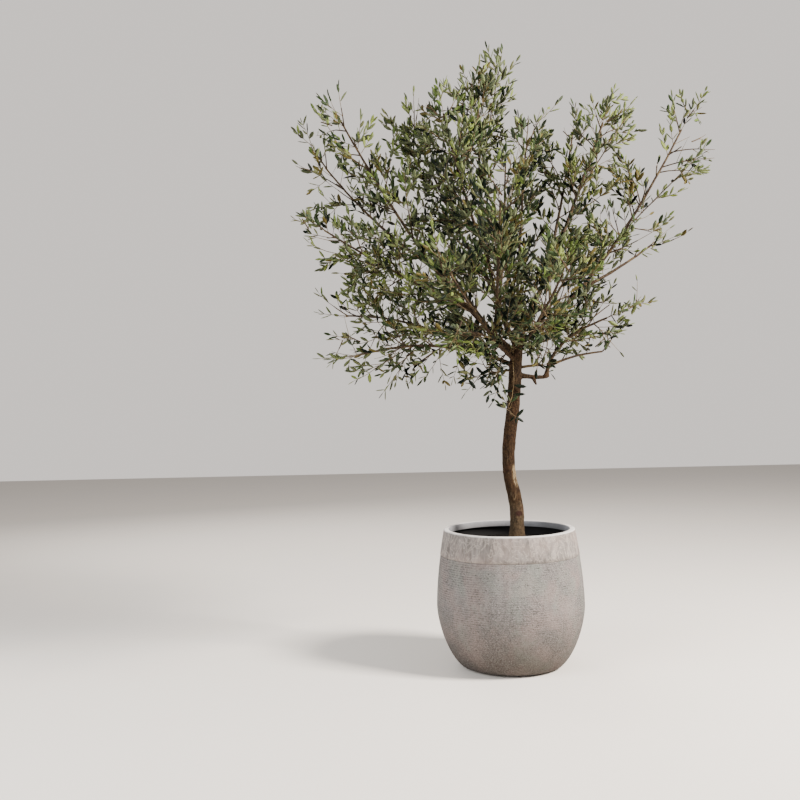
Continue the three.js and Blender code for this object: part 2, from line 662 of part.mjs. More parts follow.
addPiece(tree, 'pot', makePot(), POT_FINISH);
addPiece(tree, 'soil', makeSoil(), SOIL_FINISH);
addPiece(tree, 'trunk', makeTrunk(0), BARK_FINISH);

const plans = planLimbs();
const masses = plans.filter((plan) => !plan.bare);

// Boughs are cut to fit the trunk and the boughs that they grow from
let grown = makeTrunk(CLEARANCE);
for (const plan of plans.filter((each) => each.entry > 0)) {
  addPiece(boughs, `bough_${plan.name}`, makeBough(plan, 0).subtract(grown), BARK_FINISH);
  grown = grown.add(makeBough(plan, CLEARANCE));
}

// Twigs and leaves stay clear of all limbs and of the masses made before
const wood = [...trunkRods(), ...plans.flatMap((plan) => plan.boughRods)];
const placed = [];
for (const plan of masses) {
  plan.otherStems = masses.filter((other) => other !== plan).flatMap((other) => other.stemRods);
  plan.obstacles = [...wood, ...plan.otherStems, ...placed];
  const growth = growMass(plan);
  const solid = makeMass(plan, growth);
  const fitted = plan.entry > 0 ? solid : solid.subtract(makeTrunk(CLEARANCE));
  addPiece(foliage, `foliage_${plan.name}`, fitted, LEAF_FINISH);
  placed.push(...growth.leaves.map((leaf) => leaf.rod), ...growth.twigs.flatMap((twig) => twig.rods));
}

export default tree;
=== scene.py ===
# Potted olive tree, dressed round its solids. Growth is worked out in
# millimetres, as in the solids, and meshes are made in metres.

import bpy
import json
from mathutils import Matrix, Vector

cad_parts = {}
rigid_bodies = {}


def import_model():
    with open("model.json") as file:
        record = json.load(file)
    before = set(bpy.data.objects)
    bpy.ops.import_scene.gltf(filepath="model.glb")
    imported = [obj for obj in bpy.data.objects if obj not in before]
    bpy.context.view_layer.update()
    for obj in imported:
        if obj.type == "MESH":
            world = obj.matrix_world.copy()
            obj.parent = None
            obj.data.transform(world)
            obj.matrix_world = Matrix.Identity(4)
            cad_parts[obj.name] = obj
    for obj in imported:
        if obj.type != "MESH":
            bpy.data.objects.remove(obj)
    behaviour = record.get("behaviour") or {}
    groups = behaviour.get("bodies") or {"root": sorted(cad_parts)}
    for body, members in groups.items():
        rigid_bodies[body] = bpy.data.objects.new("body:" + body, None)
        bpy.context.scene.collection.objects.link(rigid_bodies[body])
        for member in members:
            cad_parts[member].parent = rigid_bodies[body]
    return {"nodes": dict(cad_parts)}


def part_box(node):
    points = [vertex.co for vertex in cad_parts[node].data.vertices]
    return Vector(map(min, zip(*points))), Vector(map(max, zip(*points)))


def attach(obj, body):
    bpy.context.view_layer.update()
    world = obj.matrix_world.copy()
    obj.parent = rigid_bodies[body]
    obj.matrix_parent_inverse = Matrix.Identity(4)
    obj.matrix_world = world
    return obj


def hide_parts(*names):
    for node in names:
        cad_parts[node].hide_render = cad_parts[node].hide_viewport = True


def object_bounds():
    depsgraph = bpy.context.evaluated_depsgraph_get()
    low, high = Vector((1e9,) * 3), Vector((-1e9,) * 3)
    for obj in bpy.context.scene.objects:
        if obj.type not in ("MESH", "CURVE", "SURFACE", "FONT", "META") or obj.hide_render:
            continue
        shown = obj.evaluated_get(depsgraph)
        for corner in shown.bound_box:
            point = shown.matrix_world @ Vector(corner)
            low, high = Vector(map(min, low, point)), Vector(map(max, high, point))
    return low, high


bl_info = {
    "name": "Potted Olive Tree",
    "version": (1, 0, 0),
    "blender": (4, 5, 0),
    "location": "View3D > Sidebar > Olive Tree",
    "description": "Grows an olive tree with bark, twigs and leaves in a ribbed clay planter",
    "category": "Object",
}

import functools
import json
import math
import random

import bmesh
import bpy
import numpy as np
from bpy.props import FloatProperty, FloatVectorProperty, IntProperty, PointerProperty
from mathutils import Matrix, Vector, noise

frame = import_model()
CAD_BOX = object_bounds()

BODY = "root"
MM = 0.001
NODES = frame["nodes"]
UP = np.array((0.0, 0.0, 1.0))

# Pot, in millimetres
FOOT_RADIUS = 171
FOOT_CHAMFER = 5
BELLY_RADIUS = 270
BELLY_HEIGHT = 221
RIM_RADIUS = 238
FOOT_ROUNDNESS = 1.58
SHOULDER_ROUNDNESS = 1.67
POT_HEIGHT = 500
LIP_WIDTH = 20
LIP_DEPTH = 22
LIP_ROUND = 4
WALL = 14
FLOOR = 24
SEAM_HEIGHT = 409
SEAM_STEP = 1
NOTCH_X = -15
NOTCH_WIDTH = 38
NOTCH_DEPTH = 30
NOTCH_HEIGHT = 5
SOIL_LEVEL = 450
SOIL_EDGE = 444
SOIL_DEPTH = 60
CLEARANCE = 0.3
# Outline of one rib, as shares of its pitch and its depth. At the foot it has a
# share of its depth, and a whole depth is added over a height, up to the full one.
RIB_OUTLINE = ((0, 0), (0.22, 0.8), (0.5, 1), (0.78, 0.8))
FOOT_RIB_SHARE = 0.3
RIB_GROWTH_HEIGHT = 300
# Steps of the pot's band, heights of its inner wall, and rings and turns of the soil
BAND_STEPS = 6
WALL_HEIGHTS = (SOIL_EDGE, 330, BELLY_HEIGHT, 100, FLOOR)
SOIL_RINGS = 60
SOIL_STEPS = 180

# Trunk: height, x, y and radius at some heights, from the soil to the fork
TRUNK = (
    (450.3, 29, 0, 36), (478, 30, 1, 29.5), (520, 31, 3, 26.5), (565, 31, 6, 25.5),
    (625, 23, 11, 24.8), (680, 10, 13, 23.4), (754, 5, 9, 23), (831, 9, 1, 24),
    (933, 23, -7, 23.6), (1036, 32, -6, 23.5), (1117, 39, 0, 22.5), (1190, 48, 5, 18),
)
TRUNK_FOOT = TRUNK[0][0]
TRUNK_TOP = TRUNK[-1][0]
# Knots on the trunk: height, azimuth, size and how far each stands out
KNOTS = (
    (1000, 205, 11, 15), (893, 168, 9, 17), (741, 190, 8, 17), (600, -62, 10, 17),
    (648, -20, 8, 18), (846, -35, 8, 18), (1048, -80, 10, 16), (540, 150, 9, 20),
)


def limb(name, parent, at, radius, azimuth, reach, height, bend, bow, entry, size=1.0, droop=45):
    return dict(name=name, parent=parent, at=at, radius=radius, azimuth=azimuth, reach=reach,
                height=height, bend=bend, bow=bow, entry=entry, size=size, droop=droop)


# Limbs: what each grows from and where, its radius, where its tip is, how it
# bows, the share of its length at which its foliage starts, how large its leaves
# are and how far they hang. A limb whose share is 1 is bare.
LIMBS = (
    limb("low_left", "trunk", 1092, 9, 191, 665, 1105, 0.45, 150, 0.38),
    limb("left_low", "low_left", 0.24, 6, 173, 716, 1293, 0.45, 110, 0.14),
    limb("right_arm", "trunk", 1062, 9.5, -6, 152, 1052, 0.5, -6, 1),
    limb("pruned_stub", "right_arm", 0.55, 6, -16, 112, 1024, 0.5, 0, 1),
    limb("right_low", "right_arm", 0.96, 8, -11, 522, 1299, 0.25, 140, 0.2),
    limb("under_right", "right_low", 0.1, 5.5, 9, 505, 1146, 0.35, 45, 0.12, droop=20),
    limb("under_left", "trunk", 1080, 5, -165, 160, 1035, 0.4, 20, 0, size=0.8),
    limb("under_centre", "trunk", 1085, 6, -19, 265, 1085, 0.4, 20, 0),
    limb("front_left", "trunk", 1112, 9, -119, 600, 1499, 0.35, -60, 0.38, size=1.2),
    limb("front_low_left", "front_left", 0.2, 6.5, -115, 530, 1185, 0.45, 60, 0.2, size=1.2),
    limb("front_high", "front_left", 0.32, 7, -96, 422, 1786, 0.4, -60, 0.16, size=1.2),
    limb("front_right", "trunk", 1146, 8, -70, 552, 1489, 0.35, -50, 0.26, size=1.2),
    limb("front_low_right", "front_right", 0.12, 5.5, -78, 489, 1210, 0.45, 40, 0.2, size=1.2),
    limb("back_left", "trunk", 1128, 9, 117, 585, 1706, 0.35, -70, 0.32, size=1.2),
    limb("back_low_left", "back_left", 0.25, 6, 112, 518, 1303, 0.45, 30, 0.16, size=1.2),
    limb("back_right", "trunk", 1158, 9, 50, 669, 1712, 0.35, -80, 0.3, size=1.2),
    limb("back_low_right", "back_right", 0.22, 6, 59, 556, 1314, 0.45, 30, 0.16, size=1.2),
    limb("upper_left", "trunk", 1140, 11, 185.3, 649, 2117, 0.36, -118, 0.46),
    limb("left_middle", "upper_left", 0.25, 7, 187, 759, 1663, 0.45, -30, 0.16),
    limb("left_high", "upper_left", 0.42, 7, 169.8, 737, 1961, 0.45, -60, 0.18),
    limb("top", "trunk", 1166, 11.5, 180, 68, 2280, 0.25, -140, 0.46),
    limb("crown_left", "top", 0.3, 8, 153, 399, 2157, 0.4, -60, 0.2),
    limb("crown_left_front", "top", 0.42, 7, 207, 272, 2128, 0.4, -40, 0.16),
    limb("back_high", "top", 0.22, 7, 81, 434, 2072, 0.4, -80, 0.16, size=1.2),
    limb("crown_front", "trunk", 1180, 8, -59, 174, 2003, 0.3, 60, 0.24, size=1.2),
    limb("far_right", "trunk", 1173, 11, 3, 746, 2095, 0.31, -148, 0.4),
    limb("right_middle", "far_right", 0.35, 7, 11, 681, 1618, 0.45, -30, 0.16, droop=-60),
    limb("upper_right", "trunk", 1188, 13, -8, 417, 2105, 0.35, -30, 0.36),
    limb("crown_right", "upper_right", 0.3, 7.5, 32, 375, 2099, 0.4, -30, 0.16),
    limb("trunk_sprig", "trunk", 905, 3, -95, 95, 985, 0.4, -20, 0, size=0.5),
)
# Twigs that the crown's outline needs: limb, share of its leafy length, azimuth,
# reach and height
SIDE_TIPS = (
    ("top", 0.35, 69, 74, 2295), ("far_right", 0.3, -6, 741, 1866),
    ("low_left", 0.3, 174, 560, 1038), ("low_left", 0.05, 170, 356, 1075),
    ("left_middle", 0.35, -175, 713, 1542), ("crown_left", 0.35, 156, 468, 2081),
    ("upper_right", 0.45, -7, 472, 2000), ("right_low", 0.35, -10, 465, 1363),
    ("front_low_left", 0.1, -130, 260, 1012),
)

# Growth of one mass of foliage, as in the solids
BARE_TAPER = 0.7
LIMB_TAPER = 0.75
STEM_TIP_RADIUS = 2.6
STEM_SIDES = 5
STEM_STEPS = 4
TWIG_SIDES = 3
TWIG_RADIUS = 3.4
TWIG_TAPER = 0.75
TWIG_SPACING = 80
TWIG_PLACE = (0.2, 0.4)
TWIG_REACH = 270
TWIG_SHORTENING = 0.65
TWIG_TRIES = (1, 0.8, 0.62, 0.46)
TWIG_LEAN = 44
TWIG_VARIETY = (0.85, 0.3)
TWIG_LIFT = 0.16
TWIG_BARE = 0.12
SIDE_BOW = 30
SIDE_BARE = 0.2
SPRAY_LENGTH = 155
SPRAY_SHORTENING = 0.25
SPRAY_PART = 0.6
SPRAY_VARIETY = (0.85, 0.25)
SPRAY_WIDTH_SHARE = 0.38
SPRAY_LEAN = 42
SPRAY_SPACING = 32
SPRAY_SINK = 0.7
SPRAY_CORE = 0.25
LEAFY_STEM = 1.5
TRUNK_RODS = 16
BOUGH_RODS = 6
STEM_RODS = 8
TWIG_RODS = 4
SPACE_MARGIN = 1
SEED = 85

# Finer growth, which the solids leave out. Shares of each leaf colour inside the
# crown and at its tips; the dark tones inside also paint the crown's shade
TONES = {"young": (0.01, 0.17), "fresh": (0.06, 0.20), "olive": (0.10, 0.14),
         "green": (0.30, 0.26), "deep": (0.40, 0.12), "grey": (0.09, 0.07)}
SAME_TONE = 0.65
# The leaves are darkest near the fork and in the heart of the crown, as painted shade
CROWN_HEART = np.array((90.0, -60.0, 1380.0))
CROWN_REACH = np.array((680.0, 640.0, 820.0))
FORK = np.array((40.0, -60.0, 1070.0))
FORK_SHADE = 410
# How full each mass is, and how full the others are. A mass less full than
# OPEN_FULLNESS has no side shoots and sets its pairs of leaves further apart.
FULLNESS = {"far_right": 0.35, "right_middle": 0.45, "under_right": 0.45, "right_low": 0.55,
            "left_low": 0.45, "low_left": 0.5, "left_high": 0.5, "left_middle": 0.6,
            "trunk_sprig": 0.45, "under_left": 0.55, "crown_right": 0.56,
            "upper_right": 0.6, "crown_front": 0.6}
COMMON_FULLNESS = 0.8
OPEN_FULLNESS = 0.6
OPEN_GAP = 1.35
# How far leaves and shoots may pass the boxes of the solids
REACH_MARGIN = 12
MASS_MARGIN = 6
LEAF_ROOM = 22
FINE_ROOM = 25
LOWEST = np.array(CAD_BOX[0]) / MM - REACH_MARGIN
HIGHEST = np.array(CAD_BOX[1]) / MM + REACH_MARGIN
# A shoot: places along it with the share of its radius at each, its share of a
# spray's length, and its side shoots
SHOOT_TAPER = ((0, 1), (0.35, 0.85), (0.7, 0.7), (1, 0.5))
SHOOT_RADIUS = 1.25
SHOOT_SHARE = 0.84
SHOOT_LIFT = 0.10
SHOOT_BARE = 0.12
SHOOT_TURN = 137.5
SHORTEST_SHOOT = 30
SIDE_SHOOTS = (0.22, 0.50)
SIDE_SHOOT_SHARE = 0.52
SIDE_SHOOT_BARE = 0.2
SIDE_SPRAY_LENGTH = 85
OUTER_SHARE = 0.85
FINE_LENGTH = 88
FINE_LEAN = 50
FINE_TWIG_GAP = 26
FINE_STEM_GAP = 22
# Pairs of leaves on a shoot
PAIR_TURN = 90
PAIR_TURN_RANGE = 40
PAIR_FLATNESS = 1.3
PAIR_LEAN = 44
PAIR_CLOSING = 12
MISSING_LEAVES = 0.06
LEAF_RISE = 0.26
TIP_LEAF = 0.72
# Old twigs on the boughs and twigs that reach open spots, with their radius at
# the root and at the tip
BARE_FOOT = 90
OLD_TWIG_GAP = 64
OLD_TWIG_LENGTH = 150
OLD_TWIG_LEAN = 54
OLD_TWIG_RADII = (2.4, 1.2)
OLD_SHOOT_GAP = 34
OLD_SHOOT_LENGTH = 84
OLD_SHOOT_LEAN = 46
SPOT_OVERSHOOT = 25
SPOT_SHOOT_GAP = 24
SPOT_TWIG_RADII = (2.6, 1.2)
SLIM_TWIG = 0.72
TUBE_STEP = 22
# One leaf, as shares of its length: places along it with the share of its width
# at each, the depth of its fold, how far its tip droops and its thickness
LEAF_STATIONS = ((0.0, 0.0), (0.13, 0.36), (0.40, 1.0), (0.78, 0.80), (1.0, 0.0))
LEAF_FOLD = 0.05
LEAF_DROOP = 0.10
LEAF_THICKNESS = 0.022
# Boughs: the step between points along them, and the collar where they leave
# their parent: how much it swells, how soon that fades and how far in it starts
BOUGH_STEP = 12
COLLAR_SWELL = 0.5
COLLAR_FADE = 12
COLLAR_REACH = 1.6
# A knot's radius along it, as shares of its size, the boughs' share of the trunk's
# relief, and how far the trunk swells and sinks
KNOT_TAPER = (1.0, 1.1, 1.05, 0.85, 0.5)
BOUGH_RELIEF = 0.35
TRUNK_SWELL = 0.9

# Levels of the noise that moves wood sideways, one for each axis
WAVER_LEVELS = (3.7, 13.2, 29.6)

# Camera, found from the pot and the trunk in the photograph
CAMERA_PLACE = (-0.390, -3.672, 1.002)
CAMERA_PITCH = -0.36
CAMERA_ROLL = -1.23
LENS = 45
SENSOR = 36
PICTURE = 800
PIXEL_SPAN = SENSOR / LENS / PICTURE
# Stage, in metres: how far the floor reaches, and each light's place, target, size
# and tint
STAGE_REACH = 9
LIGHTS = (
    ("key", (3.3, -1.7, 3.4), (0.0, 0.0, 1.2), 1.1, (1.0, 0.95, 0.89)),
    ("fill", (-3.2, -2.2, 2.2), (0.0, 0.0, 1.2), 3.0, (0.92, 0.96, 1.0)),
    ("back", (-1.6, 3.6, 3.2), (0.0, 0.0, 1.0), 3.0, (1.0, 0.97, 0.94)),
)
# Places in the photograph, right and down in pixels, that the masses leave too
# open, each with its depth behind the pot's axis in millimetres. A twig grows
# there from the nearest limb.
FULL_SPOTS = (
    (362, 280, 0), (384, 292, -60), (400, 306, 40), (416, 312, -120), (372, 262, 90),
    (376, 244, -40), (392, 238, 60), (412, 226, -60), (424, 214, 60), (402, 252, -140),
    (470, 150, -60), (468, 172, 60), (472, 214, -120), (456, 196, 40),
    (522, 270, -180), (530, 296, -120), (518, 252, 120), (536, 346, -60), (548, 352, 40),
    (524, 336, -110), (494, 352, -120), (486, 366, -40), (627, 172, -40), (630, 192, 40),
    (600, 240, -60), (590, 252, 40), (536, 148, -40), (540, 166, 60), (566, 330, -40),
    (584, 300, 30), (440, 330, -60), (610, 226, 20),
    (360, 292, 60), (370, 300, -30), (384, 316, 20), (396, 326, -80), (412, 334, 30),
    (428, 342, -60), (404, 262, -20), (390, 272, 100), (380, 268, -120), (400, 344, 60),
    (537, 352, -90), (530, 344, 0), (500, 366, -100), (502, 374, -60),
    (608, 246, -30), (618, 240, 60), (636, 302, 0), (612, 336, 20), (600, 330, -60),
    (352, 178, 0), (366, 186, 40), (606, 100, 0), (528, 120, 0),
    (314, 148, 0), (304, 214, 20), (336, 206, 40), (700, 150, 0),
    (470, 155, -140), (470, 222, -160), (526, 282, -60), (536, 345, 40), (430, 340, 40),
    (562, 246, -160), (548, 262, -220), (500, 248, -260), (456, 262, -200), (440, 200, 120),
    (470, 345, -120), (482, 352, -80), (460, 352, -60), (505, 340, -140), (515, 328, -180),
    (530, 332, -100), (495, 332, -170), (480, 328, -120), (545, 334, 20), (560, 342, 20),
    (512, 350, -70), (498, 346, 60), (526, 344, 80), (470, 332, 60), (452, 318, -40),
    (440, 306, -100), (520, 310, -200), (546, 306, -160), (500, 300, -240), (478, 290, -200),
    (420, 272, -30), (430, 284, 60), (378, 205, 0), (384, 222, 60),
    (548, 160, 40), (554, 196, 60),
    (376, 338, 40), (388, 330, -60), (424, 224, 0), (586, 302, -80),
    (632, 206, 60), (610, 246, 100), (330, 238, -30), (436, 150, -80),
    (332, 132, 20), (340, 156, 0), (320, 176, -20), (432, 116, 0),
    (467, 110, -40), (487, 172, -100), (460, 222, -60), (515, 222, -160), (580, 136, 0),
    (597, 168, 20), (365, 236, 20), (347, 310, 0), (440, 352, -60), (402, 368, 0),
    (502, 357, -60), (540, 352, -40), (485, 262, -200), (620, 250, 20),
    (692, 112, 0), (700, 160, 0), (490, 228, -220), (512, 136, -30),
    (545, 350, -80), (488, 196, -80), (442, 222, -60), (535, 286, -240), (574, 306, -40),
    (615, 130, 20),
    (571, 340, 20), (580, 332, -20), (562, 336, 60), (470, 232, -60), (540, 121, -20),
    (570, 189, 10), (645, 231, 10), (625, 197, 30), (678, 171, 0), (472, 104, -30),
    (475, 131, -60), (345, 356, 0), (415, 315, 60), (600, 268, 0),
    (585, 187, 0), (445, 178, -20),
)
# Places in the photograph where the sky shows through the crown: right, down and
# radius in pixels. Few leaves grow across them.
SKY_SPOTS = np.array((
    (337, 104, 7), (350, 125, 10), (365, 160, 6), (420, 100, 10), (390, 137, 5),
    (412, 197, 5), (332, 182, 14), (510, 55, 8), (470, 67, 7),
    (485, 115, 7), (520, 150, 12), (502, 176, 12), (527, 112, 8),
    (565, 127, 10), (555, 167, 9), (602, 130, 12), (604, 176, 7), (580, 222, 7),
    (660, 165, 16), (685, 140, 10), (640, 220, 10), (560, 290, 12), (477, 310, 12),
    (540, 320, 8), (605, 320, 12), (620, 368, 13), (565, 365, 12), (595, 367, 12),
    (345, 320, 12), (477, 365, 9), (440, 248, 6), (312, 138, 9), (302, 206, 8),
    (330, 163, 9), (350, 145, 6), (415, 118, 7), (584, 152, 6),
    (600, 92, 10), (642, 240, 12), (638, 288, 10),
    (680, 112, 6), (690, 148, 10), (548, 348, 9), (530, 395, 9), (450, 358, 8),
    (500, 200, 10), (525, 232, 8), (400, 212, 9),
    (326, 200, 7), (375, 322, 8), (350, 350, 8), (540, 250, 7), (507, 122, 6),
    (530, 131, 7), (640, 196, 8), (615, 228, 7), (607, 272, 8), (620, 297, 8), (565, 341, 7),
    (545, 300, 7), (692, 86, 5), (470, 316, 7),
    (329, 242, 14), (304, 160, 9), (333, 113, 7), (447, 103, 8), (603, 160, 8), (336, 286, 8),
    (378, 361, 9), (396, 350, 6), (361, 153, 10), (514, 378, 6), (516, 365, 4), (514, 391, 5),
    (512, 404, 5), (551, 380, 9), (538, 384, 6), (424, 268, 6), (490, 312, 6),
    (315, 125, 9), (542, 110, 8), (334, 347, 8), (616, 266, 7), (616, 351, 9), (432, 362, 8),
    (390, 376, 7), (670, 232, 8), (676, 152, 7), (345, 270, 8), (334, 298, 8), (422, 208, 6),
    (510, 180, 7), (600, 212, 7), (590, 325, 6),
))
SKY_SHARE = 0.8
# Two thin twigs that hang by the trunk, through places right and down in pixels
# with their depth, and the large leaves on them, painted dark as shade, from root to tip
HANGING_TWIGS = (
    ((513, 345, -8), (513, 363, -36), (514, 381, -38), (512, 397, -40), (508, 406, -43),
     (511, 413, -46), (516, 417, -48)),
    ((512, 371, -16), (489, 372, -60), (481, 375, -80), (468, 379, -110)),
)
HANGING_LEAF_LENGTH = 48
HANGING_LEAVES = (
    (508, 406, 496, 404, -44), (509, 405, 502, 402, -46), (516, 417, 524, 409, -48),
    (516, 417, 524, 422, -50), (516, 417, 516, 424, -50), (515, 416, 510, 421, -52),
    (513, 391, 502, 391, -44), (514, 395, 528, 393, -44), (519, 386, 528, 387, -40),
    (468, 379, 457, 383, -112), (468, 379, 464, 369, -112), (468, 379, 476, 389, -110),
    (470, 378, 473, 367, -106), (480, 375, 491, 368, -84), (480, 376, 487, 386, -86),
    (489, 372, 494, 362, -62), (497, 372, 499, 384, -40), (484, 374, 476, 367, -80),
)


# Settings that a user would change

def colour(name, description, red, green, blue):
    return FloatVectorProperty(name=name, description=description, subtype="COLOR", size=3,
                               min=0, max=1, default=(red, green, blue))


def distance(name, description, millimetres):
    return FloatProperty(name=name, description=description, default=millimetres * MM, unit="LENGTH")


def power(name, description, watts):
    return FloatProperty(name=name, description=description, default=watts, unit="POWER")


class PotLook(bpy.types.PropertyGroup):
    rib_pitch: distance("Rib pitch", "Height of one rib", 8)
    rib_depth: distance("Rib depth", "How far a rib stands out", 0.9)
    steps: IntProperty(name="Steps", description="Faces round the pot", default=192, min=24)
    band: colour("Band", "Smooth clay under the lip", 0.176, 0.155, 0.142)
    body: colour("Body", "Ribbed clay", 0.170, 0.155, 0.147)
    # The foot colour is partly a stain of the ground and partly painted shade towards the bottom
    foot: colour("Foot", "Clay stained by the ground", 0.028, 0.018, 0.011)


class SoilLook(bpy.types.PropertyGroup):
    relief: distance("Relief", "Height of the crumbs", 5)
    # The soil colour is partly dark soil and partly painted shade inside the pot
    colour: colour("Soil", "Dark potting soil", 0.004, 0.0033, 0.0028)


class BarkLook(bpy.types.PropertyGroup):
    voxel: distance("Voxel", "Fineness of the bark mesh", 2.6)
    relief: distance("Relief", "Depth of the fissures on the trunk", 1.7)
    ridge: colour("Ridges", "Grey-brown ridges of the bark", 0.057, 0.036, 0.019)
    fissure: colour("Fissures", "Dark hollows of the bark", 0.015, 0.009, 0.006)
    worn: colour("Worn", "Pale patches where bark has flaked", 0.24, 0.175, 0.10)
    shoot: colour("Shoots", "Young golden-brown wood", 0.13, 0.088, 0.036)


class LeafLook(bpy.types.PropertyGroup):
    length: distance("Length", "Length of a full leaf", 45)
    width: FloatProperty(name="Width", description="Widest part as a share of the length",
                         default=0.31, subtype="FACTOR")
    pair_gap: distance("Pair gap", "Distance between pairs of leaves", 25)
    seed: IntProperty(name="Seed", description="Changes how leaves are dealt out", default=7)
    young: colour("Young", "New leaves at the tips", 0.150, 0.186, 0.044)
    fresh: colour("Fresh", "Bright green leaves", 0.064, 0.092, 0.020)
    olive: colour("Olive", "Golden leaves", 0.074, 0.059, 0.015)
    green: colour("Green", "Full green leaves", 0.021, 0.034, 0.011)
    # The deep tone is partly older leaves and partly painted shade inside the crown
    deep: colour("Deep", "Old leaves inside the crown", 0.0036, 0.0066, 0.003)
    grey: colour("Grey", "Dull grey-green leaves", 0.042, 0.052, 0.028)
    underside: colour("Underside", "Silvery felt under each leaf", 0.108, 0.122, 0.060)


class StudioLook(bpy.types.PropertyGroup):
    floor: colour("Floor", "Pale floor", 0.80, 0.74, 0.67)
    air: colour("Air", "Soft light from all round", 0.42, 0.405, 0.40)
    backdrop: colour("Backdrop", "Pale wall behind the tree", 0.95, 0.89, 0.84)
    key_power: power("Key light", "Large light from the right", 860)
    fill_power: power("Fill light", "Light from the left", 200)
    back_power: power("Back light", "Soft light from behind", 110)


# The view of the photograph

def camera_turn():
    level = Matrix.Rotation(math.radians(90 + CAMERA_PITCH), 4, "X")
    return level @ Matrix.Rotation(math.radians(CAMERA_ROLL), 4, "Z")


def place_seen(right, down, depth):
    """The place, in millimetres, that shows at a pixel and lies at a depth"""
    ray = Vector(((right - PICTURE / 2) * PIXEL_SPAN, (PICTURE / 2 - down) * PIXEL_SPAN, -1))
    way = camera_turn().to_3x3() @ ray
    start = Vector(CAMERA_PLACE) / MM
    return np.array(start + way * ((depth - start.y) / way.y))


def seen_at(place):
    """The pixel, right and down, at which a place in millimetres shows"""
    local = camera_turn().to_3x3().transposed() @ (Vector(place) * MM - Vector(CAMERA_PLACE))
    return (PICTURE / 2 - local.x / local.z / PIXEL_SPAN,
            PICTURE / 2 + local.y / local.z / PIXEL_SPAN)


def shows_sky(place):
    """Whether a place lies over one of the gaps where the sky shows"""
    right, down = seen_at(place)
    gaps = np.hypot(SKY_SPOTS[:, 0] - right, SKY_SPOTS[:, 1] - down)
    return bool((gaps < SKY_SPOTS[:, 2]).any())


# Shader maths

class Value:
    """A socket whose sums, products and powers add Math nodes"""

    def __init__(self, shader, socket):
        self.shader = shader
        self.socket = socket

    def maths(self, operation, first, second=0.0):
        return self.shader.node("ShaderNodeMath", {"operation": operation}, {0: first, 1: second})

    def __add__(self, other):
        return self.maths("ADD", self, other)

    def __radd__(self, other):
        return self.maths("ADD", other, self)

    def __sub__(self, other):
        return self.maths("SUBTRACT", self, other)

    def __rsub__(self, other):
        return self.maths("SUBTRACT", other, self)

    def __mul__(self, other):
        return self.maths("MULTIPLY", self, other)

    def __rmul__(self, other):
        return self.maths("MULTIPLY", other, self)

    def __truediv__(self, other):
        return self.maths("DIVIDE", self, other)

    def __pow__(self, other):
        return self.maths("POWER", self, other)

    def wave(self):
        return self.maths("SINE", self)

    def kept(self):
        """The value held between 0 and 1"""
        return self.maths("MINIMUM", self.maths("MAXIMUM", self, 0), 1)


class Shader:
    """The nodes of one material"""

    def __init__(self, name):
        self.material = bpy.data.materials.new(name)
        self.material.use_nodes = True
        self.tree = self.material.node_tree
        self.tree.nodes.clear()
        self.place = self.node("ShaderNodeTexCoord", output="Object")

    def node(self, kind, settings=None, inputs=None, output=0):
        """A new node, given its settings and the values or links of its sockets"""
        made = self.tree.nodes.new(kind)
        for key, setting in (settings or {}).items():
            if key == "stops":
                self.set_stops(made.color_ramp, setting)
            else:
                setattr(made, key, setting)
        for key, given in (inputs or {}).items():
            if isinstance(given, Value):
                self.tree.links.new(given.socket, made.inputs[key])
            else:
                made.inputs[key].default_value = given
        return Value(self, made.outputs[output])

    @staticmethod
    def set_stops(ramp, stops):
        while len(ramp.elements) < len(stops):
            ramp.elements.new(0.5)
        for element, (position, shade) in zip(ramp.elements, stops):
            element.position = position
            element.color = (shade, shade, shade, 1)

    def along(self, axis):
        """The distance from the object's origin along X, Y or Z"""
        return self.node("ShaderNodeSeparateXYZ", None, {0: self.place}, axis)

    def noise(self, scale, detail=3.0, roughness=0.5, distortion=0.0, turn=0.0):
        """Noise of one scale, or of a scale for each axis and turned about the upright"""
        place = self.place
        if isinstance(scale, tuple):
            place = self.node("ShaderNodeMapping", None,
                              {"Vector": place, "Scale": scale, "Rotation": (0, 0, turn)})
            scale = 1
        return self.node("ShaderNodeTexNoise", None, {
            "Vector": place, "Scale": scale, "Detail": detail,
            "Roughness": roughness, "Distortion": distortion})

    def ramp(self, value, *stops):
        """The value turned into a grey by stops of position and shade"""
        ramped = self.node("ShaderNodeValToRGB", {"stops": stops}, {"Fac": value})
        return self.node("ShaderNodeRGBToBW", None, {0: ramped})

    def rise(self, value, low, high):
        """0 below low, 1 above high, and even between them"""
        return self.ramp(value, (low, 0), (high, 1))

    def patches(self, scale, low, high, **settings):
        """Noise that is 0 below low and 1 above high"""
        return self.rise(self.noise(scale, **settings), low, high)

    def between(self, value, low, high):
        """0 below low, 1 above high, and smooth between them"""
        return self.node("ShaderNodeMapRange", {"interpolation_type": "SMOOTHSTEP"},
                         {"Value": value, "From Min": low, "From Max": high})

    def mix(self, factor, first, second, blend="MIX"):
        inputs = {0: factor, 6: self.rgba(first), 7: self.rgba(second)}
        return self.node("ShaderNodeMix", {"data_type": "RGBA", "blend_type": blend},
                         inputs, output=2)

    @staticmethod
    def rgba(given):
        return given if isinstance(given, Value) else (*given, 1)

    def bump(self, height, distance):
        return self.node("ShaderNodeBump", None,
                         {"Height": height, "Distance": distance, "Strength": 1})

    def finish(self, base, roughness, normal=None, specular=0.5):
        inputs = {"Base Color": self.rgba(base), "Roughness": roughness,
                  "Specular IOR Level": specular}
        if normal:
            inputs["Normal"] = normal
        surface = self.node("ShaderNodeBsdfPrincipled", None, inputs)
        output = self.tree.nodes.new("ShaderNodeOutputMaterial")
        self.tree.links.new(surface.socket, output.inputs["Surface"])
        return self.material


# Finishes

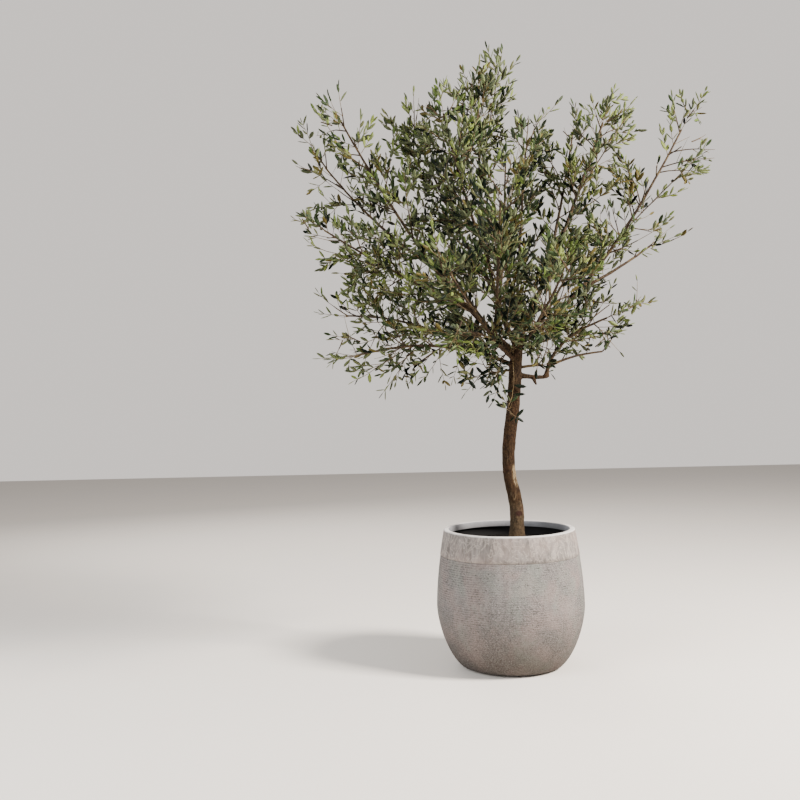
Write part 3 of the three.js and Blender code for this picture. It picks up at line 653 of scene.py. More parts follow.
# Shades that no setting holds
ROSY_CLAY = (0.27, 0.20, 0.18)
GREEN_CLAY = (0.195, 0.212, 0.185)
PALE_VEIN = (0.38, 0.335, 0.29)
BAND_CLOUD = (0.26, 0.20, 0.175)
SEAM_SHADE = (0.10, 0.08, 0.068)
# Pale rim top: partly wear, partly a painted highlight on the lip's rounded edge
RIM_WEAR_AND_HIGHLIGHT = (0.56, 0.53, 0.50)
LIP_DARK = (0.15, 0.148, 0.155)
LIP_PALE = (0.25, 0.245, 0.25)
# Painted shadow on the pot's inner wall under the lip
INNER_WALL_SHADOW = (0.014, 0.013, 0.013)
SOIL_FIBRE = (0.018, 0.015, 0.012)
BARK_BLOT = (0.022, 0.013, 0.009)
BARK_FLECK = (0.19, 0.142, 0.082)
BARK_RED = (0.085, 0.034, 0.022)
# A darker bark tone that also paints the shade under the crown
BARK_TONE_AND_SHADOW = (0.68, 0.59, 0.52)
KNOT_SHADE = (0.026, 0.010, 0.008)
DRY_SHOOT = (0.29, 0.26, 0.19)
# Places on the trunk, in metres
PATCH_HEIGHT = 0.692
KNOT_HEIGHT = 0.555
KNOT_RIGHT = 0.036


def scaled(shade, factor):
    """A colour made lighter or darker, and no brighter than white"""
    return tuple(min(1, factor * part) for part in shade)


def rib_rows(shader, height, pitch):
    """The rows between the ribs, painted dark as shade in the grooves, broken into dashes and faint in
    places
    """
    turns = (height - SEAM_HEIGHT * MM) * (2 * math.pi / pitch)
    groove = (turns + shader.noise(22) * 3.0 + math.pi / 2).wave() * 0.5 + 0.5
    faint = shader.ramp(shader.noise(7), (0.40, 0.25), (0.58, 1))
    dashes = shader.patches((105, 105, 125), 0.44, 0.60, detail=2)
    upper = shader.between(height, 0.05, 0.24) * 0.75 + 0.25
    return groove * (dashes * 0.85 + 0.15) * upper * faint


def ribbed_body(shader, look, height, clouds, speckle, painted_hollow_shade):
    """Speckled clay with painted shade in the rows and pits, washed by drips, and darkened at the foot
    by a stain and painted shade
    """
    patches = shader.patches((13, 13, 9), 0.48, 0.62, roughness=0.55, distortion=0.4)
    drips = shader.patches((42, 42, 3.2), 0.52, 0.66, detail=4)
    body = shader.mix(speckle, scaled(look.body, 0.50), scaled(look.body, 1.50))
    body = shader.mix(shader.rise(clouds, 0.44, 0.60) * 0.42, body, ROSY_CLAY)
    body = shader.mix(patches * 0.45, body, GREEN_CLAY)
    body = shader.mix(drips * 0.34, body, scaled(look.body, 1.45))
    # Painted shade in the grooves between the ribs and in the pits
    body = shader.mix(painted_hollow_shade, body, scaled(look.body, 0.30))
    # Painted shade with a stain: the clay is darkened towards the bottom, partly a stain, partly shade
    # where less light falls
    foot_stain_and_shade = (1 - shader.between(height + clouds * 0.12 - drips * 0.03, 0.05, 0.34)) * 0.95
    return shader.mix(foot_stain_and_shade * (0.95 - speckle * 0.4), body, look.foot)


def smooth_band(shader, look, clouds):
    """Paler clay, streaked downwards and veined"""
    streaks = shader.patches((55, 55, 11), 0.38, 0.64, detail=6, roughness=0.62, distortion=0.7)
    veins = shader.noise((20, 20, 15), detail=5, roughness=0.55, distortion=3.0)
    band = shader.mix(streaks, scaled(look.band, 0.62), scaled(look.band, 1.36))
    band = shader.mix(shader.ramp(veins, (0.50, 0), (0.55, 1), (0.60, 0)) * 0.6, band, PALE_VEIN)
    return shader.mix(shader.rise(clouds, 0.46, 0.62) * 0.4, band, BAND_CLOUD)


def fired_clay(look):
    """Matt clay: a streaked band under the lip, a speckled ribbed body with painted shade in its grooves
    and pits, and a foot darkened by a stain and painted shade
    """
    shader = Shader("fired_clay")
    height = shader.along("Z")
    seam, rim = SEAM_HEIGHT * MM, POT_HEIGHT * MM
    clouds = shader.noise(9, detail=4, roughness=0.6)
    speckle = shader.patches(230, 0.36, 0.64, roughness=0.8)
    pits = shader.ramp(shader.noise(170, detail=2), (0.29, 1), (0.38, 0))
    rows = rib_rows(shader, height, look.rib_pitch)
    # The grooves and the pits, which get painted shade
    painted_hollow_shade = (rows * 0.66 + pits * 0.72).kept()
    banded = shader.between(height, seam - 0.001, seam + 0.0005)
    body = ribbed_body(shader, look, height, clouds, speckle, painted_hollow_shade)
    clay = shader.mix(banded, body, smooth_band(shader, look, clouds))
    above_groove = shader.between(height, seam, seam + 0.0014)
    groove = (shader.between(height, seam - 0.0024, seam - 0.001) - above_groove).kept()
    clay = shader.mix(groove * 0.45, clay, SEAM_SHADE)
    # Painted highlight with wear: the rounded top of the rim is made pale
    worn = shader.between(height, rim - 0.0045, rim - 0.0015)
    clay = shader.mix(worn * shader.ramp(clouds, (0.36, 0.45), (0.5, 1)), clay, RIM_WEAR_AND_HIGHLIGHT)
    grain = shader.noise(900, detail=2) * 0.4 + speckle * 0.8 - pits * 0.9 - rows * 1.2
    weave = (1 - banded) * 0.8 + 0.2
    return shader.finish(clay, 0.82 + speckle * 0.12, shader.bump(grain * weave, 0.0013), 0.3)


def lip_shade():
    """The grey inner wall of the lip, with painted shadow on the wall under it"""
    shader = Shader("lip_shade")
    lip_foot = (POT_HEIGHT - LIP_DEPTH) * MM
    lit = shader.between(shader.along("Z"), lip_foot - 0.003, lip_foot + 0.001)
    dust = shader.mix(shader.noise(60, detail=5, roughness=0.6), LIP_DARK, LIP_PALE)
    # Below the lip the inside is painted near-black as shadow
    tone = shader.mix(lit, INNER_WALL_SHADOW, dust)
    return shader.finish(tone, 0.9, shader.bump(shader.noise(500), 0.0006), 0.2)


def potting_soil(look):
    """Crumbs painted near-black, partly as dark soil and partly as shade inside the pot, with a few
    paler fibres and bits of bark
    """
    shader = Shader("potting_soil")
    crumbs = shader.noise(160, detail=6, roughness=0.7)
    bits = shader.patches(310, 0.62, 0.70, detail=2)
    soil = shader.mix(crumbs, scaled(look.colour, 0.5), scaled(look.colour, 2.0))
    soil = shader.mix(bits * 0.6, soil, SOIL_FIBRE)
    return shader.finish(soil, 0.95, shader.bump(crumbs + bits * 0.5, 0.004), 0.08)


def broken_bark(shader, look, ridges, flecks, height):
    """Ridges, plates, blots and flecks of bark, darkened between the knot and the fork as a darker bark
    tone and painted shade under the crown
    """
    plates = shader.patches((48, 48, 26), 0.48, 0.66, detail=4, distortion=0.8)
    blots = shader.patches((70, 70, 45), 0.54, 0.62, distortion=0.5)
    bark = shader.mix(shader.rise(ridges, 0.41, 0.57), look.fissure, look.ridge)
    bark = shader.mix(plates * 0.4, bark, scaled(look.ridge, 1.7))
    bark = shader.mix(blots * 0.65, bark, BARK_BLOT)
    bark = shader.mix(flecks * 0.5, bark, BARK_FLECK)
    bark = shader.mix(shader.patches(22, 0.52, 0.66) * 0.16, bark, BARK_RED)
    bend = shader.between(height, 0.56, 0.62) * (1 - shader.between(height, 0.78, 0.86))
    bark = shader.mix(bend * 0.1, bark, look.fissure)
    # Painted shade with a darker bark tone: the trunk is darkened from above the knot up to the fork,
    # less so near the lit fork
    above_foot = shader.between(height, 0.56, 0.605)
    under_fork = 1 - shader.between(height, 0.96, 1.10)
    bark = shader.mix(above_foot * under_fork, bark, BARK_TONE_AND_SHADOW, "MULTIPLY")
    return shader.mix((1 - above_foot) * 0.08, bark, look.worn)


def flaked_share(shader, ridges, right, ahead, height):
    """How far the bark has flaked: most on one patch, some above the knot, a little all over"""
    flakes = shader.noise((85, 85, 34), detail=5, roughness=0.65, distortion=0.8, turn=0.9)
    up = height - PATCH_HEIGHT
    aside = right + up * 0.13 - 0.0255
    off_patch = (up / 0.041) ** 2 + (aside / 0.010) ** 2 + (ahead / 0.018) ** 2
    patch = 1 - shader.between(off_patch + ridges * 0.9, 1.0, 1.9)
    above_knot = shader.between(height, 0.575, 0.590) * (1 - shader.between(height, 0.625, 0.640))
    flaked = shader.rise(flakes, 0.42, 0.50) * patch
    flaked = flaked + shader.rise(flakes, 0.53, 0.61) * above_knot * 0.35
    return ((flaked + shader.rise(flakes, 0.64, 0.69) * 0.2) * 0.78).kept()


def trunk_bark(look):
    """Finely broken bark, flaked pale on the right low down and reddish at a knot"""
    shader = Shader("trunk_bark")
    right, ahead, height = (shader.along(axis) for axis in "XYZ")
    ridges = shader.noise((175, 175, 150), detail=6, roughness=0.75, distortion=0.4)
    flecks = shader.patches(240, 0.60, 0.70, roughness=0.7)
    bark = broken_bark(shader, look, ridges, flecks, height)
    bark = shader.mix(flaked_share(shader, ridges, right, ahead, height), bark, look.worn)
    off_knot = ((height - KNOT_HEIGHT) / 0.011) ** 2 + ((right - KNOT_RIGHT) / 0.015) ** 2
    knot = (1 - shader.between(off_knot + ridges, 0.9, 1.7)) * (1 - shader.between(ahead, -0.010, 0))
    bark = shader.mix(knot * 0.85, bark, KNOT_SHADE)
    relief = shader.rise(ridges, 0.36, 0.62) + shader.noise(600) * 0.3 + flecks * 0.2
    return shader.finish(bark, 0.90, shader.bump(relief, 0.0016), 0.1)


def twig_bark(look):
    """Grey-brown wood of the twigs"""
    shader = Shader("twig_bark")
    blotches = shader.noise(90, detail=4, roughness=0.65)
    wood = shader.mix(shader.rise(blotches, 0.38, 0.62), look.fissure, look.ridge)
    wood = shader.mix(shader.patches(30, 0.50, 0.64) * 0.5, wood, scaled(look.shoot, 0.9))
    return shader.finish(wood, 0.85, shader.bump(blotches, 0.0008), 0.2)


def shoot_bark(look):
    """Smooth young wood, grey to olive brown"""
    shader = Shader("shoot_bark")
    blotches = shader.noise(42, detail=4, roughness=0.6)
    wood = shader.mix(shader.rise(blotches, 0.40, 0.62), look.shoot, look.ridge)
    wood = shader.mix(shader.patches(300, 0.55, 0.68) * 0.5, wood, DRY_SHOOT)
    return shader.finish(wood, 0.78, shader.bump(blotches, 0.0006), 0.2)


def leaf_top(name, tone):
    """The leathery upper side, a little uneven in colour"""
    shader = Shader("leaf_" + name)
    grain = shader.noise(900, detail=2)
    leaf = shader.mix(shader.patches(34, 0.36, 0.66), scaled(tone, 0.78), scaled(tone, 1.24))
    return shader.finish(leaf, 0.42 + grain * 0.18, shader.bump(grain, 0.0002), 0.09)


def leaf_underside(name, tone, felt):
    """The silvery felt of the lower side, tinted by the leaf's colour, and darker on the deep leaves as
    painted shade
    """
    shader = Shader("underleaf_" + name)
    drift = shader.noise(60)
    # Painted shade: the deep leaves get less of the pale felt, so that they stay dark on both sides
    felted = 0.40 if name == "deep" else 0.72
    tinted = tuple(felted * f + 0.40 * c for f, c in zip(felt, tone))
    leaf = shader.mix(drift, scaled(tinted, 0.85), scaled(tinted, 1.12))
    return shader.finish(leaf, 0.72 + drift * 0.1, specular=0.08)


# Pieces

def new_object(name, data):
    """An object of the scene, at the origin"""
    made = bpy.data.objects.new(name, data)
    bpy.context.scene.collection.objects.link(made)
    return made


def add_piece(mesh, name, materials, replaced):
    """A finished object that stands for some solids"""
    for material in materials:
        mesh.materials.append(material)
    piece = new_object(name, mesh)
    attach(piece, BODY)
    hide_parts(*replaced)


def nodes_of(kind):
    """The names of the solids of one kind, in order"""
    return sorted(name for name in NODES if name.startswith(kind + "_"))


def mesh_from(bm, name):
    mesh = bpy.data.meshes.new(name)
    bm.to_mesh(mesh)
    bm.free()
    mesh.shade_smooth()
    return mesh


def finished_mesh(drawn):
    """An object's mesh with its modifiers applied. The object itself goes."""
    graph = bpy.context.evaluated_depsgraph_get()
    mesh = bpy.data.meshes.new_from_object(drawn.evaluated_get(graph))
    bpy.data.objects.remove(drawn)
    return mesh


def spun(profile, steps):
    """A closed body turned from a profile of radius and height, in millimetres"""
    bm = bmesh.new()
    points = [bm.verts.new((radius * MM, 0, height * MM)) for radius, height in profile]
    for first, second in zip(points, points[1:]):
        bm.edges.new((first, second))
    geometry = bm.verts[:] + bm.edges[:]
    bmesh.ops.spin(bm, geom=geometry, axis=(0, 0, 1), cent=(0, 0, 0), angle=2 * math.pi,
                   steps=steps, use_merge=True)
    bmesh.ops.remove_doubles(bm, verts=bm.verts, dist=1e-6)
    bmesh.ops.recalc_face_normals(bm, faces=bm.faces)
    return bm


# Pot and soil

def pot_radius(height):
    if height >= BELLY_HEIGHT:
        rise = (height - BELLY_HEIGHT) / (POT_HEIGHT - BELLY_HEIGHT)
        return BELLY_RADIUS - (BELLY_RADIUS - RIM_RADIUS) * rise ** SHOULDER_ROUNDNESS
    drop = (BELLY_HEIGHT - height) / BELLY_HEIGHT
    swell = (1 - drop ** FOOT_ROUNDNESS) ** (1 / FOOT_ROUNDNESS)
    return FOOT_RADIUS + (BELLY_RADIUS - FOOT_RADIUS) * swell


def rounded(centre, radius, start, end, count=4):
    """Points round a corner, between two angles in degrees"""
    turns = [math.radians(start + (end - start) * i / count) for i in range(count + 1)]
    return [(centre[0] + radius * math.cos(t), centre[1] + radius * math.sin(t)) for t in turns]


def pot_profile(look):
    """The ribbed outside, the rounded lip and the smooth inside"""
    pitch, full_depth = look.rib_pitch / MM, look.rib_depth / MM
    profile = [(0, 0), (FOOT_RADIUS - NOTCH_DEPTH, 0), (FOOT_RADIUS - FOOT_CHAMFER, 0)]
    ribs = int((SEAM_HEIGHT - FOOT_CHAMFER) / pitch)
    foot = SEAM_HEIGHT - ribs * pitch
    for rib in range(ribs):
        for share, stand in RIB_OUTLINE:
            height = foot + (rib + share) * pitch
            depth = full_depth * min(1, FOOT_RIB_SHARE + height / RIB_GROWTH_HEIGHT)
            profile.append((pot_radius(height) - depth + stand * depth, height))
    profile.append((pot_radius(SEAM_HEIGHT) - full_depth, SEAM_HEIGHT))
    band_foot, band_top = SEAM_HEIGHT + SEAM_STEP, POT_HEIGHT - LIP_ROUND
    for i in range(BAND_STEPS + 1):
        height = band_foot + (band_top - band_foot) * i / BAND_STEPS
        profile.append((pot_radius(height) + SEAM_STEP, height))
    inner, lip_foot = RIM_RADIUS - LIP_WIDTH, POT_HEIGHT - LIP_DEPTH
    profile += rounded((RIM_RADIUS - LIP_ROUND + SEAM_STEP, band_top), LIP_ROUND, 15, 90)
    profile += rounded((inner + LIP_ROUND, band_top), LIP_ROUND, 90, 180)
    profile += [(inner, lip_foot + 1), (inner + 1, lip_foot)]
    profile += [(pot_radius(height) - WALL, height) for height in (lip_foot, *WALL_HEIGHTS)]
    return profile + [(0, FLOOR)]


def in_notch(place):
    return (abs(place.x - NOTCH_X * MM) < NOTCH_WIDTH * MM / 2 and place.y < 0
            and place.z < NOTCH_HEIGHT * MM and place.xy.length > (FOOT_RADIUS - NOTCH_DEPTH + 1) * MM)


def make_pot(look):
    """The planter, with its inside in the second material"""
    bm = spun(pot_profile(look), look.steps)
    for vert in bm.verts:
        if in_notch(vert.co):
            vert.co.z = NOTCH_HEIGHT * MM
    lip = (RIM_RADIUS - LIP_WIDTH + 1.5) * MM
    for face in bm.faces:
        middle = face.calc_center_median()
        reach = middle.xy.length
        behind_wall = middle.z >= FLOOR * MM and reach < (pot_radius(middle.z / MM) - WALL + 4) * MM
        under_lip = middle.z > SOIL_EDGE * MM and reach < lip
        # The inside, behind the wall and under the lip, takes the material with the painted shadow
        face.material_index = int(behind_wall or under_lip)
    return mesh_from(bm, "pot_shell")


def make_soil(look):
    """A body of soil whose top is crumbly and rises towards the trunk"""
    under = SOIL_EDGE - SOIL_DEPTH
    edge, foot = (pot_radius(height) - WALL - 2 * CLEARANCE for height in (SOIL_EDGE, under))
    profile = [(0, under), (foot, under), (edge, SOIL_EDGE)]
    for ring in range(1, SOIL_RINGS + 1):
        share = ring / SOIL_RINGS
        rise = (SOIL_LEVEL - SOIL_EDGE) * min(1, 2 * share)
        profile.append((edge * (1 - share), SOIL_EDGE + rise))
    bm = spun(profile, SOIL_STEPS)
    for vert in bm.verts:
        if vert.co.z > (SOIL_EDGE + 0.01) * MM and vert.co.xy.length < 0.985 * edge * MM:
            crumbs = noise.noise(vert.co * 70) + 0.6 * noise.noise(vert.co * 190)
            vert.co.z += look.relief * crumbs
    return mesh_from(bm, "soil_top")


# Curves of the limbs and twigs

def unit(vector):
    return vector / np.linalg.norm(vector)


def turned(vector, axis, angle):
    """The vector turned round an axis by an angle in degrees"""
    turn = math.radians(angle)
    return (vector * math.cos(turn) + np.cross(axis, vector) * math.sin(turn)
            + axis * np.dot(axis, vector) * (1 - math.cos(turn)))


def polar(azimuth, reach, height):
    turn = math.radians(azimuth)
    return np.array((reach * math.cos(turn), reach * math.sin(turn), height))


class Curve:
    """A curve from its root to its tip, drawn towards one bend point"""

    def __init__(self, root, bend, tip):
        self.root, self.bend, self.tip = root, bend, tip
        ends = np.array([self.point(t) for t in np.linspace(0, 1, 201)])
        self.length = float(np.linalg.norm(np.diff(ends, axis=0), axis=1).sum())

    def point(self, t):
        return (1 - t) ** 2 * self.root + 2 * t * (1 - t) * self.bend + t * t * self.tip

    def tangent(self, t):
        return unit(self.point(min(1, t + 1e-4)) - self.point(max(0, t - 1e-4)))


def level_across(along):
    """A level side of a direction, or X where it stands upright"""
    side = np.cross(along, UP)
    if np.linalg.norm(side) < 0.1 * np.linalg.norm(along):
        side = np.array((1.0, 0, 0))
    return unit(side)


def limb_axes(curve, at, roll):
    """The curve's direction at a place, and two sides square to it"""
    along = curve.tangent(at)
    side = level_across(curve.tip - curve.root)
    side = turned(unit(side - along * np.dot(side, along)), along, -roll)
    return along, side, np.cross(side, along)


def leaning(axes, lean, turn):
    """A direction that leans off a limb, on the side that a turn round it gives"""
    along, side, top = axes
    tilt, spin = math.radians(lean), math.radians(turn)
    return (along * math.cos(tilt) + side * math.sin(tilt) * math.cos(spin)
            + top * math.sin(tilt) * math.sin(spin))


def trunk_at(height):
    """The trunk's centre and radius at a height: each runs smoothly between stations"""
    last = len(TRUNK) - 1
    i = 0
    while i < last - 1 and height > TRUNK[i + 1][0]:
        i += 1
    low, high = TRUNK[i], TRUNK[i + 1]
    span = high[0] - low[0]
    u = min(1, max(0, (height - low[0]) / span))

    def slope(key, k):
        before, after = TRUNK[max(0, k - 1)], TRUNK[min(last, k + 1)]
        return (after[key] - before[key]) / (after[0] - before[0])

    def blend(key):
        return (low[key] * (2 * u ** 3 - 3 * u ** 2 + 1)
                + slope(key, i) * span * (u ** 3 - 2 * u ** 2 + u)
                + high[key] * (3 * u ** 2 - 2 * u ** 3)
                + slope(key, i + 1) * span * (u ** 3 - u ** 2))

    return np.array((blend(1), blend(2), height)), blend(3)


# Rods: straight lengths that stand for wood and leaves when the room round them
# is measured. Each is a row of two ends and a radius.

def rods_along(point_at, radius_at, start, end, count):
    shares = np.linspace(start, end, count + 1)
    rows = [(*point_at(a), *point_at(b), radius_at(a)) for a, b in zip(shares, shares[1:])]
    return np.array(rows if end > start else []).reshape(-1, 7)


def rod_gaps(rods, rod):
    """The least distance from each of the rods to one rod"""
    u = rods[:, 3:6] - rods[:, 0:3]
    v = rod[3:6] - rod[0:3]
    w = rods[:, 0:3] - rod[0:3]
    uu, uv, vv = (u * u).sum(1), u @ v, v @ v
    uw, vw = (u * w).sum(1), w @ v
    spread = uu * vv - uv * uv
    apart = spread > 1e-9
    first = np.where(apart, (uv * vw - vv * uw) / np.where(apart, spread, 1), 0).clip(0, 1)
    t = ((uv * first + vw) / vv).clip(0, 1)
    s = ((uv * t - uw) / uu).clip(0, 1)
    return np.linalg.norm(w + u * s[:, None] - v * t[:, None], axis=1)


def clear_of(rods, rod):
    """Whether a rod keeps clear of all the rods"""
    if not len(rods):
        return True
    return bool((rod_gaps(rods, rod) > rods[:, 6] + rod[6] + SPACE_MARGIN).all())


def point_gap(rods, point):
    """The least distance from a point to the axes of the rods"""
    span = rods[:, 3:6] - rods[:, 0:3]
    share = (((point - rods[:, 0:3]) * span).sum(1) / (span * span).sum(1)).clip(0, 1)
    return np.linalg.norm(rods[:, 0:3] + span * share[:, None] - point, axis=1).min()


def in_own_space(plan, point, margin):
    """Whether a point is nearer to its own mass's stem than to any other"""
    if point[2] <= plan.underside:
        return False
    return point_gap(plan.stem_rods, point) + 2 * margin < point_gap(plan.other_stems, point)


# Growth of the limbs and masses, by the rule of the solids

def seeded_numbers(seed):
    """A repeatable run of numbers from 0 to 1"""
    mask = 0xFFFFFFFF
    state = seed & mask
    while True:
        state = (state + 0x6D2B79F5) & mask
        mixed = ((state ^ (state >> 15)) * (state | 1)) & mask
        mixed ^= (mixed + (((mixed ^ (mixed >> 7)) * (mixed | 61)) & mask)) & mask
        yield (mixed ^ (mixed >> 14)) / 4294967296


class Plan:
    """One limb: its curve, its radius along it and its room"""

    def __init__(self, row, index, parents):
        self.__dict__.update(row)
        self.index = index
        parent = parents.get(self.parent)
        start = parent.curve.point(self.at) if parent else trunk_at(self.at)[0]
        tip = polar(self.azimuth, self.reach, self.height)
        chord = tip - start
        rise = unit(np.cross(unit(np.cross(chord, UP)), chord))
        self.curve = Curve(start, start + chord * self.bend + rise * self.bow, tip)
        self.length = self.curve.length
        self.bare = self.entry == 1
        self.fullness = FULLNESS.get(self.name, COMMON_FULLNESS)
        self.sides = [side for side in SIDE_TIPS if side[0] == self.name]
        heights = [self.curve.point(self.entry)[2], self.height] + [side[4] for side in self.sides]
        self.underside = min(heights) - self.droop
        self.bough_rods = rods_along(self.curve.point, self.radius_at, 0, self.entry, BOUGH_RODS)
        self.stem_rods = rods_along(self.curve.point, self.radius_at, self.entry, 1, STEM_RODS)

    def radius_at(self, t):
        end = BARE_TAPER * self.radius if self.bare else STEM_TIP_RADIUS
        return self.radius + (end - self.radius) * t ** (1 if self.bare else LIMB_TAPER)


class Twig:
    """A twig whose wood stops short, and whose last spray fills the rest of its reach"""

    def __init__(self, curve, size, start, spray_length):
        self.curve, self.size, self.start = curve, size, start
        self.reach = curve.length
        self.spray_length = spray_length
        self.wood_to = 1 - spray_length / self.reach
        self.stations = (0, self.wood_to)
        self.rods = rods_along(curve.point, self.radius_at, 0, 1, TWIG_RODS)
        self.roll = 0.0

    def radius_at(self, t):
        return TWIG_RADIUS * self.size * (1 - (1 - TWIG_TAPER) * min(1, t / self.wood_to))

    def wood_point(self, at):
        """The axis of the solid's wood, which runs straight from station to station"""
        after = next((i for i, s in enumerate(self.stations) if s >= at), -1)
        after = max(1, after)
        a, b = self.stations[after - 1], self.stations[after]
        share = (at - a) / (b - a)
        return self.curve.point(a) * (1 - share) + self.curve.point(b) * share


class Spray:
    """The room of one leaf of the solids, which a spray of leaves fills"""

    def __init__(self, twig, at, turn, length):
        axes = limb_axes(twig.curve, at, twig.roll)
        self.out = leaning(axes, SPRAY_LEAN, turn)
        self.across = unit(np.cross(axes[0], self.out))
        depth = SPRAY_SINK * twig.radius_at(at) / math.sin(math.radians(SPRAY_LEAN))
        self.root = twig.wood_point(at) - self.out * depth
        self.length = length
        self.tip = self.root + self.out * length
        half = 0.5 * SPRAY_WIDTH_SHARE * length
        self.rod = np.array((*self.root, *self.tip, half))
        self.core = np.array((*self.root, *self.tip, SPRAY_CORE * half))
        middle = 0.5 * (self.root + self.tip)
        self.points = (self.tip, middle + self.across * half, middle - self.across * half)


def flat_turn(sides, number):
    side = 2 * number if sides > 3 else number
    return 90 + (side + 0.5) * (360 / sides)


def varied(variety, draws):
    return variety[0] + variety[1] * next(draws)


def grow_sprays(plan, twig, sides, draws):
    grown = []
    room = twig.reach * (twig.wood_to - twig.start)
    count = max(1, int(room / (SPRAY_SPACING * twig.size) + 0.5))
    for i in range(count):
        at = twig.start + ((i + 0.5) / count) * (twig.wood_to - twig.start)
        length = twig.spray_length * varied(SPRAY_VARIETY, draws)
        spray = Spray(twig, at, flat_turn(sides, i), length)
        if (all(in_own_space(plan, point, SPACE_MARGIN) for point in spray.points)
                and clear_of(plan.obstacles, spray.rod) and clear_of(plan.cores, spray.core)):
            grown.append(spray)
    return grown


def twig_curve(root, direction, reach):
    tip = root + direction * reach + UP * (TWIG_LIFT * reach)
    return Curve(root, root + direction * (0.5 * reach), tip)


def twig_fits(plan, twig):
    return all(in_own_space(plan, rod[3:6], TWIG_RADIUS) and clear_of(plan.obstacles, rod)
               for rod in twig.rods)


def grow_mass(plan, seed):
    """The stem, the twigs and the sprays of one mass"""
    draws = seeded_numbers(seed + plan.index)
    curve, entry, size = plan.curve, plan.entry, plan.size
    stem_length = plan.length * (1 - entry)

    def spray_length(share):
        return SPRAY_LENGTH * size * (1 - SPRAY_SHORTENING * share)

    stem = Twig(curve, size, 0, spray_length(1))
    stem.start = max(entry, stem.wood_to - LEAFY_STEM * spray_length(1) / plan.length)
    stem.radius_at = plan.radius_at
    stem.stations = tuple(np.linspace(entry + CLEARANCE / plan.length, stem.wood_to, STEM_STEPS + 1))
    stem.roll = 360 * next(draws)
    plan.cores = np.zeros((0, 7))
    sprays = grow_sprays(plan, stem, STEM_SIDES, draws)
    twigs = []

    def grow(twig):
        twig.roll = 360 * next(draws)
        plan.cores = np.array([spray.core for spray in sprays]).reshape(-1, 7)
        twigs.append(twig)
        sprays.extend(grow_sprays(plan, twig, TWIG_SIDES, draws))

    for _, at, azimuth, reach, height in plan.sides:
        root = curve.point(entry + (1 - entry) * at)
        tip = polar(azimuth, reach, height)
        bend = 0.5 * (root + tip) + curve.tangent(entry) * SIDE_BOW
        grow(Twig(Curve(root, bend, tip), size, SIDE_BARE, spray_length(1)))
    count = max(2, int(stem_length / (TWIG_SPACING * size) + 0.5))
    for i in range(count):
        share = (i + varied(TWIG_PLACE, draws)) / count
        at = entry + (1 - entry) * share
        lean = TWIG_LEAN * varied(TWIG_VARIETY, draws)
        direction = leaning(limb_axes(curve, at, stem.roll), lean, flat_turn(STEM_SIDES, i))
        full = TWIG_REACH * size * (1 - TWIG_SHORTENING * share) * varied(TWIG_VARIETY, draws)
        for reach in (part * full for part in TWIG_TRIES):
            length = min(spray_length(share), SPRAY_PART * reach)
            twig = Twig(twig_curve(stem.wood_point(at), direction, reach), size, TWIG_BARE, length)
            if twig_fits(plan, twig):
                grow(twig)
                break
    return stem, twigs, sprays


@functools.lru_cache(maxsize=1)
def grown_tree():
    """Every limb, with the stem, twigs and sprays of its mass"""
    parents = {}
    for index, row in enumerate(LIMBS):
        parents[row["name"]] = Plan(row, index, parents)
    plans = list(parents.values())
    masses = [plan for plan in plans if not plan.bare]
    trunk_rods = rods_along(lambda h: trunk_at(h)[0], lambda h: trunk_at(h)[1],
                            TRUNK_FOOT, TRUNK_TOP, TRUNK_RODS)
    wood = np.vstack([trunk_rods] + [plan.bough_rods for plan in plans])
    placed = np.zeros((0, 7))
    for plan in masses:
        plan.other_stems = np.vstack([other.stem_rods for other in masses if other is not plan])
        plan.obstacles = np.vstack([wood, plan.other_stems, placed])
        plan.stem, plan.twigs, plan.sprays = grow_mass(plan, SEED)
        rows = [spray.rod for spray in plan.sprays] + [rod for twig in plan.twigs for rod in twig.rods]
        placed = np.vstack([placed, np.array(rows).reshape(-1, 7)])
    return plans, masses


# Wood

def tube_mesh(name, tubes, resolution):
    """One mesh of round tubes, each given by its points and radii in millimetres"""
    data = bpy.data.curves.new(name, "CURVE")
    data.dimensions = "3D"
    data.bevel_depth = 1.0
    data.bevel_resolution = resolution
    data.use_fill_caps = True
    for points, radii in tubes:
        spline = data.splines.new("POLY")
        spline.points.add(len(points) - 1)
        rows = np.hstack([np.asarray(points) * MM, np.ones((len(points), 1))])
        spline.points.foreach_set("co", rows.astype(np.float32).ravel())
        spline.points.foreach_set("radius", (np.asarray(radii) * MM).astype(np.float32))
    mesh = finished_mesh(new_object(name, data))
    mesh.name = name
    mesh.shade_smooth()
    return mesh


def wavering(points, amount, seed):
    """Points moved a little to the side, so that wood isn't ruled, with both ends kept"""
    moved = []
    for i, point in enumerate(points):
        share = i / (len(points) - 1)
        sway = [noise.noise(Vector((0.9 * i, seed + 0.37, level))) for level in WAVER_LEVELS]
        moved.append(point + np.array(sway) * amount * math.sin(math.pi * share))
    return moved


def bough_tube(plan):
    """A bough with a swollen collar where it leaves its parent"""
    end = min(1, plan.entry + 6 / plan.length)
    shares = np.linspace(0, end, max(4, int(plan.entry * plan.length / BOUGH_STEP)))
    inside = plan.radius * (COLLAR_REACH if plan.parent == "trunk" else 1)
    outside = [max(0, t * plan.length - inside) for t in shares]
    radii = [plan.radius_at(t) * (1 + COLLAR_SWELL * math.exp(-off / COLLAR_FADE))
             for t, off in zip(shares, outside)]
    if plan.bare:
        radii[-1] *= 0.75
    return wavering([plan.curve.point(t) for t in shares], 2.2, plan.index), radii


def knot_tubes():
    """Short stubs that swell the bark where old branches were"""
    tubes = []
    for height, azimuth, size, out in KNOTS:
        centre, _ = trunk_at(height)
        way = polar(azimuth, out + 0.35 * size, 0.2 * size)
        points = [centre + way * t for t in np.linspace(0, 1, len(KNOT_TAPER))]
        tubes.append((points, [size * share for share in KNOT_TAPER]))
    return tubes


